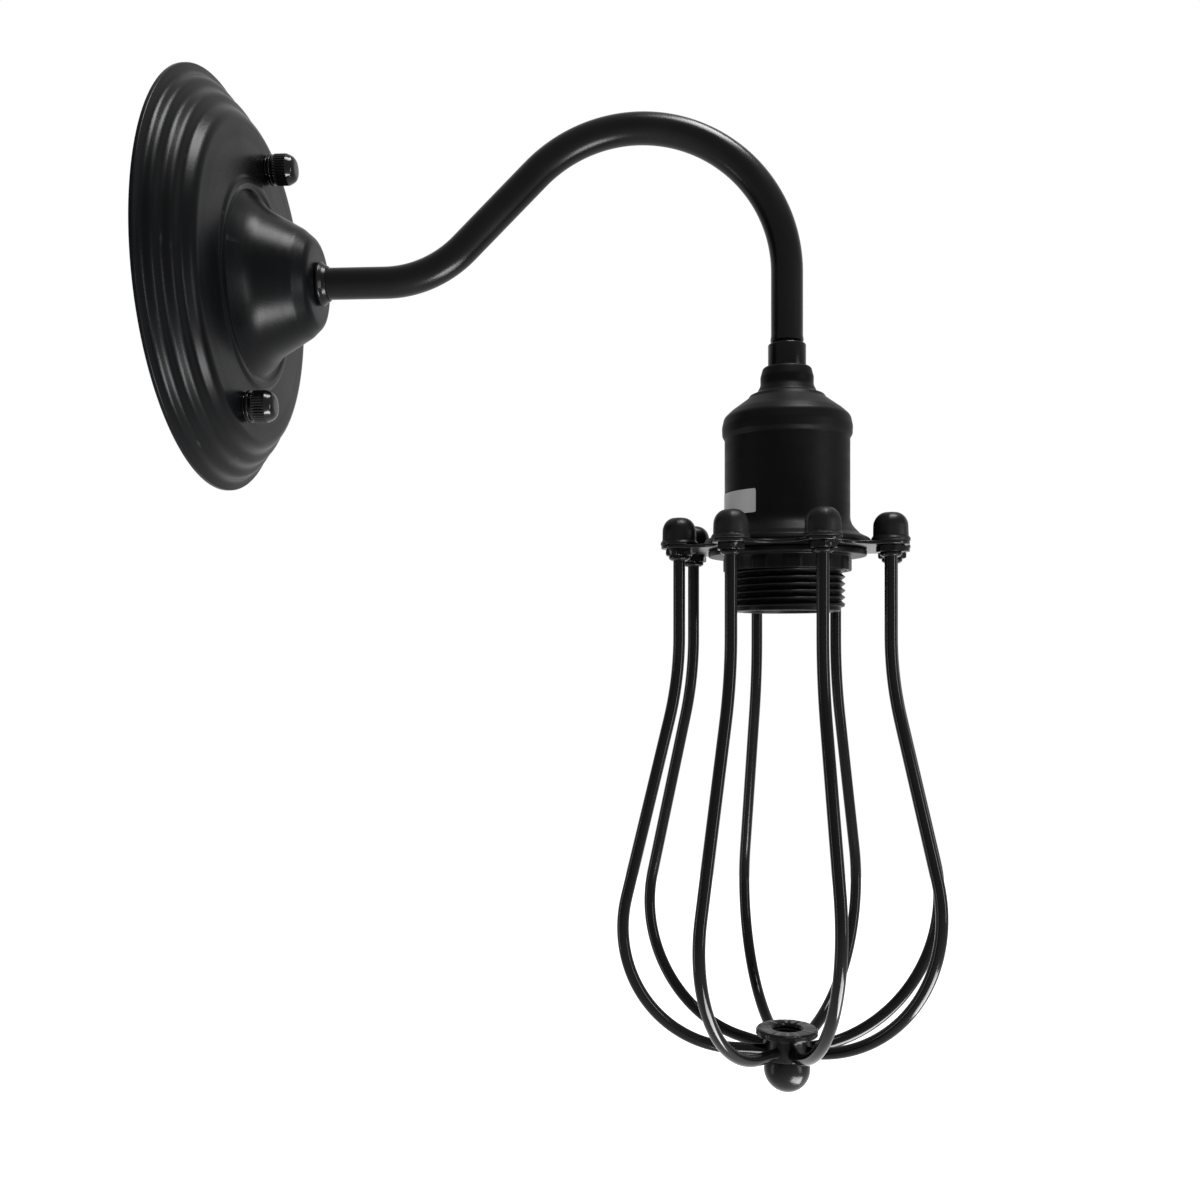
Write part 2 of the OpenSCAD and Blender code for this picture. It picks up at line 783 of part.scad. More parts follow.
// The leaning run is as long as brings the tail to the hub at the right depth
function lean_length(i) =
    let (
        slope = wire_tail_slope,
        belly_fall = belly_r(i) * (sin(wire_lean) + cos(slope)),
        belly_reach = belly_r(i) * (sin(slope) - cos(wire_lean)),
        fall = shoulder_z - wire_end_z - belly_fall,
        tail_fall = tan(slope) * (shoulder_x + belly_reach - wire_end_r)
    )
    (fall - tail_fall) / (cos(wire_lean) + sin(wire_lean) * tan(slope));

// A wire's bend about a centre in the X-Z plane, from one heading angle to another
module wire_bend(x, z, radius, from, sweep) {
    translate([x, 0, z]) rotate([90, 0, 0]) rotate([0, 0, from])
        rotate_extrude(angle = sweep) translate([radius, 0]) circle(r = wire_r - bend_shrink);
}

// A wire's tail, drawn outward from a little inside its end
module wire_tail(r, extra, length) {
    translate([wire_end_r, 0, wire_end_z]) rotate([0, 90 - wire_tail_slope, 0])
        translate([0, 0, -extra]) cylinder(r = r, h = length + extra);
}

module cage_wire(i) {
    top_z = plate_top_z + cap_nut_h - 3;
    bend_z = plate_mid_z - shoulder_start;
    run = lean_length(i);
    centre_x = shoulder_x + run * sin(wire_lean) - belly_r(i) * cos(wire_lean);
    centre_z = shoulder_z - run * cos(wire_lean) - belly_r(i) * sin(wire_lean);
    tail_x = centre_x + belly_r(i) * sin(wire_tail_slope);
    color("black") round_cage(i, i) {
        translate([wire_circle_r, 0, bend_z - run_lap])
            cylinder(r = wire_r, h = top_z - bend_z + run_lap);
        wire_bend(wire_circle_r + wire_shoulder_r, bend_z, wire_shoulder_r, 180, wire_lean);
        translate([shoulder_x, 0, shoulder_z]) rotate([0, 180 - wire_lean, 0])
            straight(run, wire_r);
        wire_bend(centre_x, centre_z, belly_r(i), wire_tail_slope - 90,
            90 - wire_tail_slope + wire_lean);
        wire_tail(wire_r, 0, (tail_x - wire_end_r) / cos(wire_tail_slope) + run_lap);
    }
}

module cage_cap_nuts() {
    color("black") round_cage() translate([wire_circle_r, 0, plate_top_z]) difference() {
        rotate_extrude() polygon(rounded([
            [0, 0], [cap_skirt_r, 0], [cap_skirt_r, 0.8, 0.3], [cap_nut_r, 1.6, 0.5],
            [cap_nut_r, cap_nut_h, 4.6], [0, cap_nut_h]
        ], 4));
        translate([0, 0, -eps]) cylinder(r = wire_r + thread_slack, h = cap_nut_h - 2.5);
    }
}

module cage_lock_nuts() {
    color("black") round_cage()
        translate([wire_circle_r, 0, plate_low_z - lock_nut_h]) difference() {
            hex_prism(lock_nut_across, lock_nut_h);
            translate([0, 0, -eps])
                cylinder(r = wire_r + thread_slack, h = lock_nut_h + 2 * eps);
        }
}

module cage_hub() {
    color("black") difference() {
        at_holder() translate([0, 0, hub_top_z]) rotate_extrude() polygon(rounded([
            [hub_bore_r, 0], [hub_r, 0, 0.5], [hub_r, -hub_flange_h, 0.5],
            [hub_neck_r, -hub_flange_h - 0.6, 0.6], [hub_neck_r, -hub_h], [hub_bore_r, -hub_h]
        ], 3));
        round_cage() wire_tail(wire_r + 0.05, 0.2, hub_r);
    }
}

// A ball with a flat seat under the hub and a stud that is screwed up into it
module finial_ball() {
    seat_z = hub_top_z - hub_h - 0.02;
    stud_top = hub_top_z - 4.5;
    color("black") at_holder() {
        difference() {
            translate([0, 0, ball_z]) sphere(r = ball_d / 2);
            translate([0, 0, seat_z]) cylinder(r = ball_d, h = ball_d);
        }
        translate([0, 0, ball_z]) cylinder(r = hub_bore_r - thread_slack, h = stud_top - ball_z);
    }
}

wall_bracket();
fixing_studs();
stud_nuts();
thumb_washers();
canopy();
earth_screw();
terminal_block();
terminal_screws();
arm_nut();
lock_washer();
arm_collar();
arm_tube();
live_lead();
neutral_lead();
earth_lead();
coupling_collar();
holder_cover();
cover_nut();
rating_label();
socket_cap();
socket_base();
socket_sleeve();
screw_shell();
socket_terminals();
socket_screws();
contact_foot();
thumb_nut_upper();
thumb_nut_lower();
centre_contact();
shade_ring();
cage_plate();
cage_wire(1);  // cage_wire_1
cage_wire(2);  // cage_wire_2
cage_wire(3);  // cage_wire_3
cage_wire(4);  // cage_wire_4
cage_wire(5);  // cage_wire_5
cage_wire(6);  // cage_wire_6
cage_wire(7);  // cage_wire_7
cage_wire(8);  // cage_wire_8
cage_cap_nuts();
cage_lock_nuts();
cage_hub();
finial_ball();
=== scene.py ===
import math
import random

import bmesh
import bpy
from mathutils import Matrix, Vector, noise


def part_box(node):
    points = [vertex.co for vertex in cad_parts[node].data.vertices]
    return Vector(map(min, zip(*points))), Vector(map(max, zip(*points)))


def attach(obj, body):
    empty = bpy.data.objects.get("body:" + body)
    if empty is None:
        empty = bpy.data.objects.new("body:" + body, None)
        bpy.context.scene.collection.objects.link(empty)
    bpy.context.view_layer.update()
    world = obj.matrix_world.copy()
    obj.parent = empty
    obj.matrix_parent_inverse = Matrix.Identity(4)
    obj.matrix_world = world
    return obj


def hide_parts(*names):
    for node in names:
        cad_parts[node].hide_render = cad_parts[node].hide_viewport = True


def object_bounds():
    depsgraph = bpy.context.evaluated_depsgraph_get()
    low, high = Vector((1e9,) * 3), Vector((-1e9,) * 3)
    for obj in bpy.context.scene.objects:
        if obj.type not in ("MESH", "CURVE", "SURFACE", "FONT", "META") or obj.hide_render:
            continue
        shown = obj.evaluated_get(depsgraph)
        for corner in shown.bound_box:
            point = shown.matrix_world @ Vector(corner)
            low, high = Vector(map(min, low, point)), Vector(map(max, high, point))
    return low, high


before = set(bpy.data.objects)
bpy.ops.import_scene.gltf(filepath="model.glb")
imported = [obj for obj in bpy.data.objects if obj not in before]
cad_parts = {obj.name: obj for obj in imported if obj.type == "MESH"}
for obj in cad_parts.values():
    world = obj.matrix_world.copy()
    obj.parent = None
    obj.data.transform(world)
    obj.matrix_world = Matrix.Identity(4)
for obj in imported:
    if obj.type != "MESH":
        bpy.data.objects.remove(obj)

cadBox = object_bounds()
mm = 0.001
print("frame loaded:", len(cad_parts), "nodes")


# places that the frame gives

def low(node):
    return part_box(node)[0]


def high(node):
    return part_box(node)[1]


def middle(node):
    return (low(node) + high(node)) / 2


reach = -middle("holder_cover").y  # from the wall to the holder's axis
coverTop = high("holder_cover").z
coverLip = low("holder_cover").z
plateTop = high("cage_plate").z
plateLow = low("cage_plate").z
holderPlace = Matrix.Translation((0, -reach, 0))  # heights are the frame's own
wallPlace = Matrix.Rotation(math.pi / 2, 4, "X")  # local +Z points out from the wall
thumbNuts = ("thumb_nut_upper", "thumb_nut_lower")
wireCount = 8
cageTurn = math.radians(-10)


def wireAngle(i):
    return cageTurn + (i + 0.5) * 2 * math.pi / wireCount


def onStud(node):
    centre = middle(node)
    return Matrix.Translation((centre.x, 0, centre.z)) @ wallPlace


def addObject(name, data):
    made = bpy.data.objects.new(name, data)
    bpy.context.scene.collection.objects.link(made)
    return made


# camera

cameraView = {
    "focalPixels": 1250,  # for a frame 1200 pixels wide
    "fromAxis": 428 * mm,  # away from the arm's plane
    "towardWall": 34.5 * mm,  # from the holder's axis
    "underPlate": 36.1 * mm,
    "turn": 3.9,  # degrees toward the wall
    "shift": 57 / 1200,
}


def makeCamera():
    data = bpy.data.cameras.new("camera")
    data.sensor_width = 36
    data.lens = 36 * cameraView["focalPixels"] / 1200
    data.shift_y = cameraView["shift"]
    data.clip_start = 0.01
    camera = addObject("camera", data)
    camera.location = (
        -cameraView["fromAxis"],
        -reach + cameraView["towardWall"],
        plateLow - cameraView["underPlate"],
    )
    camera.rotation_euler = (math.pi / 2, 0, math.radians(-90 + cameraView["turn"]))
    bpy.context.scene.camera = camera


makeCamera()
print("camera placed")


# mesh helpers

def finishMesh(name, mesh, body, node, material, sharp=32):
    mesh.shade_smooth()
    mesh.set_sharp_from_angle(angle=math.radians(sharp))
    piece = addObject(name, mesh)
    mesh.materials.append(material)
    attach(piece, body)
    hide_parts(node)
    return piece


mergeDistance = 1e-7


def meshFrom(name, verts, faces):
    mesh = bpy.data.meshes.new(name)
    mesh.from_pydata([tuple(v) for v in verts], [], faces)
    shape = bmesh.new()
    shape.from_mesh(mesh)
    bmesh.ops.remove_doubles(shape, verts=shape.verts, dist=mergeDistance)
    bmesh.ops.dissolve_degenerate(shape, edges=shape.edges, dist=mergeDistance)
    bmesh.ops.recalc_face_normals(shape, faces=shape.faces)
    shape.to_mesh(mesh)
    shape.free()
    return mesh


def joinMeshes(name, meshes):
    joined = bmesh.new()
    for mesh in meshes:
        joined.from_mesh(mesh)
        bpy.data.meshes.remove(mesh)
    result = bpy.data.meshes.new(name)
    joined.to_mesh(result)
    joined.free()
    return result


# rounds each corner (r, h, radius) of a closed outline; sharp corners are (r, h)
def rounded(points, steps=6):
    outline = []
    for i, p in enumerate(points):
        here = Vector(p[:2])
        if len(p) < 3:
            outline.append(here)
            continue
        back = (Vector(points[i - 1][:2]) - here).normalized()
        ahead = (Vector(points[(i + 1) % len(points)][:2]) - here).normalized()
        half = back.angle(ahead) / 2
        centre = here + (back + ahead).normalized() * p[2] / math.sin(half)
        first = here + back * p[2] / math.tan(half) - centre
        last = here + ahead * p[2] / math.tan(half) - centre
        start = math.atan2(first.y, first.x)
        sweep = math.atan2(last.y, last.x) - start
        sweep = (sweep + math.pi) % (2 * math.pi) - math.pi
        for k in range(steps + 1):
            turn = start + sweep * k / steps
            outline.append(centre + Vector((math.cos(turn), math.sin(turn))) * p[2])
    return outline


# both faces of a sheet whose left face follows an open outline
def sheetOutline(path, thickness):
    back = []
    for i, p in enumerate(path):
        along = path[min(i + 1, len(path) - 1)] - path[max(i - 1, 0)]
        along.normalize()
        back.append(p + Vector((-along.y, along.x)) * thickness)
    return list(path) + back[::-1]


# millimetres to metres
def scaled(points):
    return [tuple(v * mm for v in p) for p in points]


# points on an arc, with a and b as its first and last angle
def arc(centre, radius, a, b, steps):
    x, y = centre
    turns = [a + (b - a) * k / steps for k in range(steps + 1)]
    return [Vector((x + radius * math.cos(t), y + radius * math.sin(t))) for t in turns]


# points at one radius, close enough together for a thread
def threadRun(radius, first, last, pitch, perPitch=10):
    count = max(2, round(abs(last - first) / pitch * perPitch))
    return [Vector((radius, first + (last - first) * k / count)) for k in range(count + 1)]


def fade(value, first, last, run):
    edge = min(value - first, last - value) / run
    return max(0.0, min(1.0, edge))


# a radius rule for lathe: cuts a right-hand thread into the outline at one radius
def threadRule(radius, first, last, pitch, depth, runOut=None, roundness=0.5):
    runOut = runOut or pitch
    sign = 1 if depth > 0 else -1

    def rule(r, h, turn):
        if abs(r - radius) > 0.02 * mm or not first <= h <= last:
            return r
        phase = (h / pitch - turn / (2 * math.pi)) % 1
        ridge = abs(2 * phase - 1)
        soft = 0.5 - 0.5 * math.cos(math.pi * ridge)
        cut = ridge * (1 - roundness) + soft * roundness
        return r - sign * abs(depth) * cut * fade(h, first, last, runOut)

    return rule


# turns an outline of (r, h) about the local Z axis
def lathe(name, outline, place, sides=96, rules=(), closed=True):
    verts = []
    for k in range(sides):
        turn = 2 * math.pi * k / sides
        for r, h in outline:
            for rule in rules:
                r = rule(r, h, turn)
            verts.append(place @ Vector((r * math.cos(turn), r * math.sin(turn), h)))
    size = len(outline)
    faces = []
    for k in range(sides):
        here, after = k * size, (k + 1) % sides * size
        for i in range(size if closed else size - 1):
            j = (i + 1) % size
            faces.append((here + i, after + i, after + j, here + j))
    return meshFrom(name, verts, faces)


# lumps of paint or cast skin, beyond a radius round the holder's axis; normals are read first
def roughen(mesh, scale, height, beyond=0):
    moves = []
    for vert in mesh.vertices:
        away = (vert.co.xy - Vector((0, -reach))).length
        lump = vert.normal * noise.noise(vert.co * scale) * height
        moves.append(lump if away >= beyond else Vector())
    for vert, move in zip(mesh.vertices, moves):
        vert.co += move


# a tube with flat ends along a smooth path
def sweep(name, path, radius, sides):
    side = None
    verts = []
    count = len(path)
    for i, p in enumerate(path):
        along = (path[min(i + 1, count - 1)] - path[max(i - 1, 0)]).normalized()
        if side is None:
            side = along.orthogonal().normalized()
        side = (side - along * side.dot(along)).normalized()
        up = along.cross(side)
        for k in range(sides):
            turn = 2 * math.pi * k / sides
            verts.append(p + (side * math.cos(turn) + up * math.sin(turn)) * radius)
    faces = [
        (i * sides + k, i * sides + (k + 1) % sides,
         (i + 1) * sides + (k + 1) % sides, (i + 1) * sides + k)
        for i in range(count - 1) for k in range(sides)
    ]
    faces.append(tuple(range(sides))[::-1])
    faces.append(tuple((count - 1) * sides + k for k in range(sides)))
    return meshFrom(name, verts, faces)


# a hexagon's radius at an angle, softened toward a circle
def hexRule(across, softness, first, last, chamfer=0):
    flat = across / 2
    corner = flat / math.cos(math.pi / 6)

    def rule(r, h, turn):
        if r < flat * 0.9:
            return r
        angle = (turn + math.pi / 6) % (math.pi / 3) - math.pi / 6
        side = flat / math.cos(angle)
        side = side * (1 - softness) + (flat + corner) / 2 * softness
        if chamfer:
            edge = min(h - first, last - h)
            side = min(side, flat - chamfer + edge * 1.9 + chamfer * 1.1)
        return side * r / corner

    return rule


def hexNut(name, across, bore, height, place, pitch, chamfer=0.35 * mm):
    corner = across / 2 / math.cos(math.pi / 6)
    rings = [0, 0.12, 0.28, 0.45, 0.7, 1.0]
    outer = [Vector((corner, t * mm)) for t in rings]
    outer += [Vector((corner, height - t * mm)) for t in rings[::-1]]
    inner = [Vector((bore + 0.35 * mm, height))]
    inner += threadRun(bore, height - 0.35 * mm, 0.35 * mm, pitch)
    inner += [Vector((bore + 0.35 * mm, 0))]
    rules = [
        hexRule(across, 0.0, 0, height, chamfer),
        threadRule(bore, 0, height, pitch, -0.35 * pitch),
    ]
    return lathe(name, outer + inner, place, 72, rules)


# shader node helpers

def newMaterial(name):
    material = bpy.data.materials.new(name)
    material.use_nodes = True
    return material, material.node_tree, material.node_tree.nodes["Principled BSDF"]


def addNode(tree, kind, settings=None, **inputs):
    node = tree.nodes.new(kind)
    for key, value in (settings or {}).items():
        setattr(node, key, value)
    for key, value in inputs.items():
        setSocket(tree, node.inputs[key.replace("_", " ")], value)
    return node


def setSocket(tree, socket, value):
    if isinstance(value, bpy.types.NodeSocket):
        tree.links.new(value, socket)
    else:
        socket.default_value = value


def mathNode(tree, operation, *values):
    node = tree.nodes.new("ShaderNodeMath")
    node.operation = operation
    for socket, value in zip(node.inputs, values):
        setSocket(tree, socket, value)
    return node.outputs[0]


def mixColours(tree, factor, first, second):
    node = tree.nodes.new("ShaderNodeMix")
    node.data_type = "RGBA"
    setSocket(tree, node.inputs[0], factor)
    setSocket(tree, node.inputs[6], first)
    setSocket(tree, node.inputs[7], second)
    return node.outputs[2]


def remap(tree, value, fromLow, fromHigh, toLow, toHigh):
    node = tree.nodes.new("ShaderNodeMapRange")
    for socket, item in zip(node.inputs, (value, fromLow, fromHigh, toLow, toHigh)):
        setSocket(tree, socket, item)
    return node.outputs[0]


# a group whose sockets are all numbers, apart from Vector
def newGroup(name, inputs, outputs):
    tree = bpy.data.node_groups.new(name, "ShaderNodeTree")
    for way, labels in (("INPUT", inputs), ("OUTPUT", outputs)):
        for label in labels:
            kind = "NodeSocketVector" if label == "Vector" else "NodeSocketFloat"
            tree.interface.new_socket(label, in_out=way, socket_type=kind)
    return tree, tree.nodes.new("NodeGroupInput"), tree.nodes.new("NodeGroupOutput")


def useGroup(tree, group, **values):
    node = tree.nodes.new("ShaderNodeGroup")
    node.node_tree = group
    for key, value in values.items():
        setSocket(tree, node.inputs[key.replace("_", " ")], value)
    return node


def grey(value):
    return (value, value, value, 1)


# shared effects, each built once

def makeCoatGroup():
    tree, given, out = newGroup("coatGrain", ["Vector", "Scale"], ["Height", "Cloud", "Fleck"])
    fine = addNode(tree, "ShaderNodeTexNoise", Vector=given.outputs["Vector"],
                   Scale=given.outputs["Scale"], Detail=3.0, Roughness=0.55)
    broad = addNode(tree, "ShaderNodeTexNoise", Vector=given.outputs["Vector"],
                    Scale=mathNode(tree, "MULTIPLY", given.outputs["Scale"], 0.035), Detail=4.0)
    cells = addNode(tree, "ShaderNodeTexVoronoi", Vector=given.outputs["Vector"],
                    Scale=mathNode(tree, "MULTIPLY", given.outputs["Scale"], 0.16))
    rare = mathNode(tree, "GREATER_THAN", cells.outputs["Color"], 0.86)
    near = mathNode(tree, "LESS_THAN", cells.outputs["Distance"], 0.13)
    tree.links.new(fine.outputs["Fac"], out.inputs["Height"])
    tree.links.new(broad.outputs["Fac"], out.inputs["Cloud"])
    tree.links.new(mathNode(tree, "MULTIPLY", rare, near), out.inputs["Fleck"])
    return tree


def makeWearGroup():
    tree, given, out = newGroup("edgeWear", ["Vector", "Scale", "Amount"], ["Edge", "Dust"])
    shape = tree.nodes.new("ShaderNodeNewGeometry")
    crest = remap(tree, shape.outputs["Pointiness"], 0.53, 0.66, 0.0, 1.0)
    broken = addNode(tree, "ShaderNodeTexNoise", Vector=given.outputs["Vector"],
                     Scale=given.outputs["Scale"], Detail=5.0, Roughness=0.7)
    patch = remap(tree, broken.outputs["Fac"], 0.45, 0.62, 0.0, 1.0)
    edge = mathNode(tree, "MULTIPLY", crest, patch)
    edge = mathNode(tree, "MULTIPLY", edge, given.outputs["Amount"])
    normal = addNode(tree, "ShaderNodeSeparateXYZ", Vector=shape.outputs["Normal"])
    upward = remap(tree, normal.outputs["Z"], 0.35, 1.0, 0.0, 1.0)
    dust = mathNode(tree, "MULTIPLY", upward, broken.outputs["Fac"])
    tree.links.new(edge, out.inputs["Edge"])
    tree.links.new(dust, out.inputs["Dust"])
    return tree


# rings left by the spinning tool: across the axis they follow height, or radius on a disc
def makeSpinGroup():
    tree, given, out = newGroup("spinRings", ["Vector", "Rings", "Broad"], ["Height", "Band"])
    parts = addNode(tree, "ShaderNodeSeparateXYZ", Vector=given.outputs["Vector"])
    radius = mathNode(tree, "POWER", parts.outputs["X"], 2.0)
    radius = mathNode(tree, "ADD", radius, mathNode(tree, "POWER", parts.outputs["Y"], 2.0))
    radius = mathNode(tree, "SQRT", radius)
    along = mathNode(tree, "ADD", radius, parts.outputs["Z"])
    line = addNode(tree, "ShaderNodeCombineXYZ", X=along, Y=0.0, Z=0.0)
    fine = addNode(tree, "ShaderNodeTexNoise", Vector=line.outputs[0],
                   Scale=given.outputs["Rings"], Detail=2.0)
    broad = addNode(tree, "ShaderNodeTexNoise", Vector=line.outputs[0],
                    Scale=given.outputs["Broad"], Detail=2.0)
    tree.links.new(fine.outputs["Fac"], out.inputs["Height"])
    tree.links.new(broad.outputs["Fac"], out.inputs["Band"])
    return tree


coatGrain = makeCoatGroup()
edgeWear = makeWearGroup()
spinRings = makeSpinGroup()


# the point in the piece's own space; origin moves it onto an axis
def objectPoint(tree, origin=(0, 0, 0), turnToWall=False):
    place = tree.nodes.new("ShaderNodeTexCoord").outputs["Object"]
    if turnToWall:
        turn = addNode(tree, "ShaderNodeMapping", Vector=place)
        turn.inputs["Rotation"].default_value = (math.pi / 2, 0, 0)
        return turn.outputs[0]
    moved = addNode(tree, "ShaderNodeVectorMath", {"operation": "SUBTRACT"})
    tree.links.new(place, moved.inputs[0])
    moved.inputs[1].default_value = origin
    return moved.outputs[0]


coatLook = {
    "dark": grey(0.001), "light": grey(0.0026), "worn": grey(0.03), "wear": 0.25,
    "dust": 0.01, "dustColour": grey(0.10), "roughLow": 0.36, "roughHigh": 0.44,
    "grainScale": 1400.0, "grainHeight": 0.00002, "wearScale": 260.0, "bump": 1.0,
    "specular": 0.05, "rings": 0, "flecks": 0, "origin": (0, 0, 0), "onWall": False,
}


# a black coat: its colour, gloss, grain, wear and, where it was spun, its rings
def coatMaterial(name, **changes):
    look = {**coatLook, **changes}
    material, tree, shader = newMaterial(name)
    point = objectPoint(tree, look["origin"], look["onWall"])
    grain = useGroup(tree, coatGrain, Vector=point, Scale=look["grainScale"])
    wear = useGroup(tree, edgeWear, Vector=point, Scale=look["wearScale"], Amount=look["wear"])
    colour = mixColours(tree, grain.outputs["Cloud"], look["dark"], look["light"])
    colour = mixColours(tree, wear.outputs["Edge"], colour, look["worn"])
    dusty = mathNode(tree, "MULTIPLY", wear.outputs["Dust"], look["dust"])
    colour = mixColours(tree, dusty, colour, look["dustColour"])
    tree.links.new(colour, shader.inputs["Base Color"])
    rough = remap(tree, grain.outputs["Cloud"], 0.3, 0.7, look["roughLow"], look["roughHigh"])
    rough = mathNode(tree, "ADD", rough, mathNode(tree, "MULTIPLY", wear.outputs["Edge"], -0.08))
    height = mathNode(tree, "MULTIPLY", grain.outputs["Height"], look["grainHeight"])
    if look["rings"]:
        rings = useGroup(tree, spinRings, Vector=point,
                         Rings=look["ringScale"], Broad=look["bandScale"])
        height = mathNode(tree, "ADD", height,
                          mathNode(tree, "MULTIPLY", rings.outputs["Height"], look["rings"]))
        rough = mathNode(tree, "ADD", rough,
                         remap(tree, rings.outputs["Band"], 0.3, 0.7, -0.04, 0.05))
    tree.links.new(rough, shader.inputs["Roughness"])
    if look["flecks"]:
        height = mathNode(tree, "ADD", height,
                          mathNode(tree, "MULTIPLY", grain.outputs["Fleck"], look["flecks"]))
    bump = addNode(tree, "ShaderNodeBump", Height=height, Distance=1.0, Strength=look["bump"])
    tree.links.new(bump.outputs[0], shader.inputs["Normal"])
    shader.inputs["Specular IOR Level"].default_value = look["specular"]
    return material


axisOrigin = (0, -reach, 0)
canopyBlack = coatMaterial(
    "canopyBlack",
    roughLow=0.26, roughHigh=0.33, specular=0.045, dark=grey(0.0004), onWall=True, rings=0.000003,
    ringScale=900.0, bandScale=160.0, light=(0.0014, 0.0016, 0.002, 1))
armBlack = coatMaterial("armBlack", roughLow=0.22, roughHigh=0.3, specular=0.075)
holderBlack = coatMaterial(
    "holderBlack",
    origin=axisOrigin, roughLow=0.38, roughHigh=0.46, specular=0.034, rings=0.000008,
    ringScale=1600.0, bandScale=300.0, flecks=0.00002)
knobBlack = coatMaterial(
    "knobBlack",
    roughLow=0.12, roughHigh=0.2, specular=0.12, grainHeight=0.000004, wear=0.1)
wireBlack = coatMaterial(
    "wireBlack",
    origin=axisOrigin, roughLow=0.09, roughHigh=0.15, specular=0.07, grainScale=700.0,
    grainHeight=0.00001, flecks=0.00004, wear=0.15)
plateBlack = coatMaterial(
    "plateBlack",
    origin=axisOrigin, roughLow=0.2, roughHigh=0.28, specular=0.1, grainScale=700.0,
    grainHeight=0.00001, flecks=0.00002)
capBlack = coatMaterial(
    "capBlack",
    origin=axisOrigin, roughLow=0.28, roughHigh=0.42, specular=0.065, light=grey(0.005),
    grainScale=1000.0, grainHeight=0.00005, flecks=0.00004, wear=0.4)
hubBlack = coatMaterial(
    "hubBlack",
    origin=axisOrigin, roughLow=0.14, roughHigh=0.28, specular=0.06, light=grey(0.005),
    grainScale=1300.0, grainHeight=0.00004, flecks=0.00006, wear=0.4)
socketBlack = coatMaterial(
    "socketBlack",
    origin=axisOrigin, roughLow=0.3, roughHigh=0.38, specular=0.03, grainHeight=0.000006,
    wear=0.12)
print("black finishes mixed")


# bright and moulded finishes of the inner pieces
def plainMaterial(name, look):
    material, tree, shader = newMaterial(name)
    point = objectPoint(tree)
    grain = useGroup(tree, coatGrain, Vector=point, Scale=look["scale"])
    wear = useGroup(tree, edgeWear, Vector=point, Scale=240.0, Amount=0.3)
    colour = mixColours(tree, grain.outputs["Cloud"], look["dark"], look["light"])
    colour = mixColours(tree, wear.outputs["Edge"], colour, look["light"])
    tree.links.new(colour, shader.inputs["Base Color"])
    rough = remap(tree, grain.outputs["Cloud"], 0.3, 0.7, look["roughLow"], look["roughHigh"])
    tree.links.new(rough, shader.inputs["Roughness"])
    height = mathNode(tree, "MULTIPLY", grain.outputs["Height"], look["height"])
    bump = addNode(tree, "ShaderNodeBump", Height=height, Distance=1.0, Strength=1.0)
    tree.links.new(bump.outputs[0], shader.inputs["Normal"])
    shader.inputs["Metallic"].default_value = look.get("metallic", 0.0)
    shader.inputs["Specular IOR Level"].default_value = look.get("specular", 0.5)
    return material


zincSteel = plainMaterial("zincSteel", {
    "dark": (0.36, 0.37, 0.38, 1), "light": (0.58, 0.58, 0.57, 1), "scale": 1200.0,
    "roughLow": 0.28, "roughHigh": 0.42, "height": 0.00001, "metallic": 1.0})
brass = plainMaterial("brass", {
    "dark": (0.48, 0.30, 0.10, 1), "light": (0.72, 0.5, 0.2, 1), "scale": 1000.0,
    "roughLow": 0.2, "roughHigh": 0.34, "height": 0.000006, "metallic": 1.0})
ivoryPlastic = plainMaterial("ivoryPlastic", {
    "dark": (0.58, 0.54, 0.44, 1), "light": (0.68, 0.64, 0.54, 1), "scale": 800.0,
    "roughLow": 0.42, "roughHigh": 0.52, "height": 0.00001})
ceramic = plainMaterial("ceramic", {
    "dark": (0.6, 0.58, 0.53, 1), "light": (0.72, 0.7, 0.65, 1), "scale": 1500.0,
    "roughLow": 0.55, "roughHigh": 0.7, "height": 0.00003, "specular": 0.35})
labelFoil = plainMaterial("labelFoil", {
    "dark": (0.16, 0.16, 0.165, 1), "light": (0.3, 0.3, 0.3, 1), "scale": 3000.0,
    "roughLow": 0.4, "roughHigh": 0.55, "height": 0.00002, "metallic": 0.35})
leadFinish = {
    "live_lead": ((0.12, 0.045, 0.018, 1), (0.2, 0.08, 0.03, 1)),
    "neutral_lead": ((0.02, 0.08, 0.28, 1), (0.04, 0.13, 0.4, 1)),
    "earth_lead": ((0.09, 0.25, 0.03, 1), (0.55, 0.5, 0.04, 1)),
}
print("inner finishes mixed")


# canopy: a spun shell with three soft steps, a flat face, a bell and a nose

canopyShape = {
    "radius": 71, "face": 14, "nose": 36, "sheet": 0.9, "studHole": 2.3,
    "armHole": 5.1, "beadFoot": 36.4, "bellFoot": 31.6,
}


def makeCanopy():
    v = canopyShape
    r, face, nose = v["radius"], v["face"], v["nose"]
    front = rounded(scaled([
        (v["armHole"], nose), (14.8, nose, 4.2), (18.6, nose - 4.4, 7), (25.6, face + 5.2, 16),
        (v["bellFoot"], face + 0.1, 1.1), (33.4, face + 0.7, 1.2), (35.2, face + 0.7, 1.4),
        (v["beadFoot"], face, 1.6), (r - 15.5, face, 4.4), (r - 12.8, 10.2, 2.9),
        (r - 9.4, 9.2, 2.8), (r - 8, 6, 2.8), (r - 4.6, 5, 2.7), (r - 3.3, 1.9, 2.4),
        (r, 1.2, 0.5), (r, 0),
    ]), 9)
    mesh = lathe("canopy_shell", sheetOutline(front, -v["sheet"] * mm), wallPlace, 256)
    return finishMesh("canopy_shell", mesh, "root", "canopy", canopyBlack, 40)


canopyShell = makeCanopy()


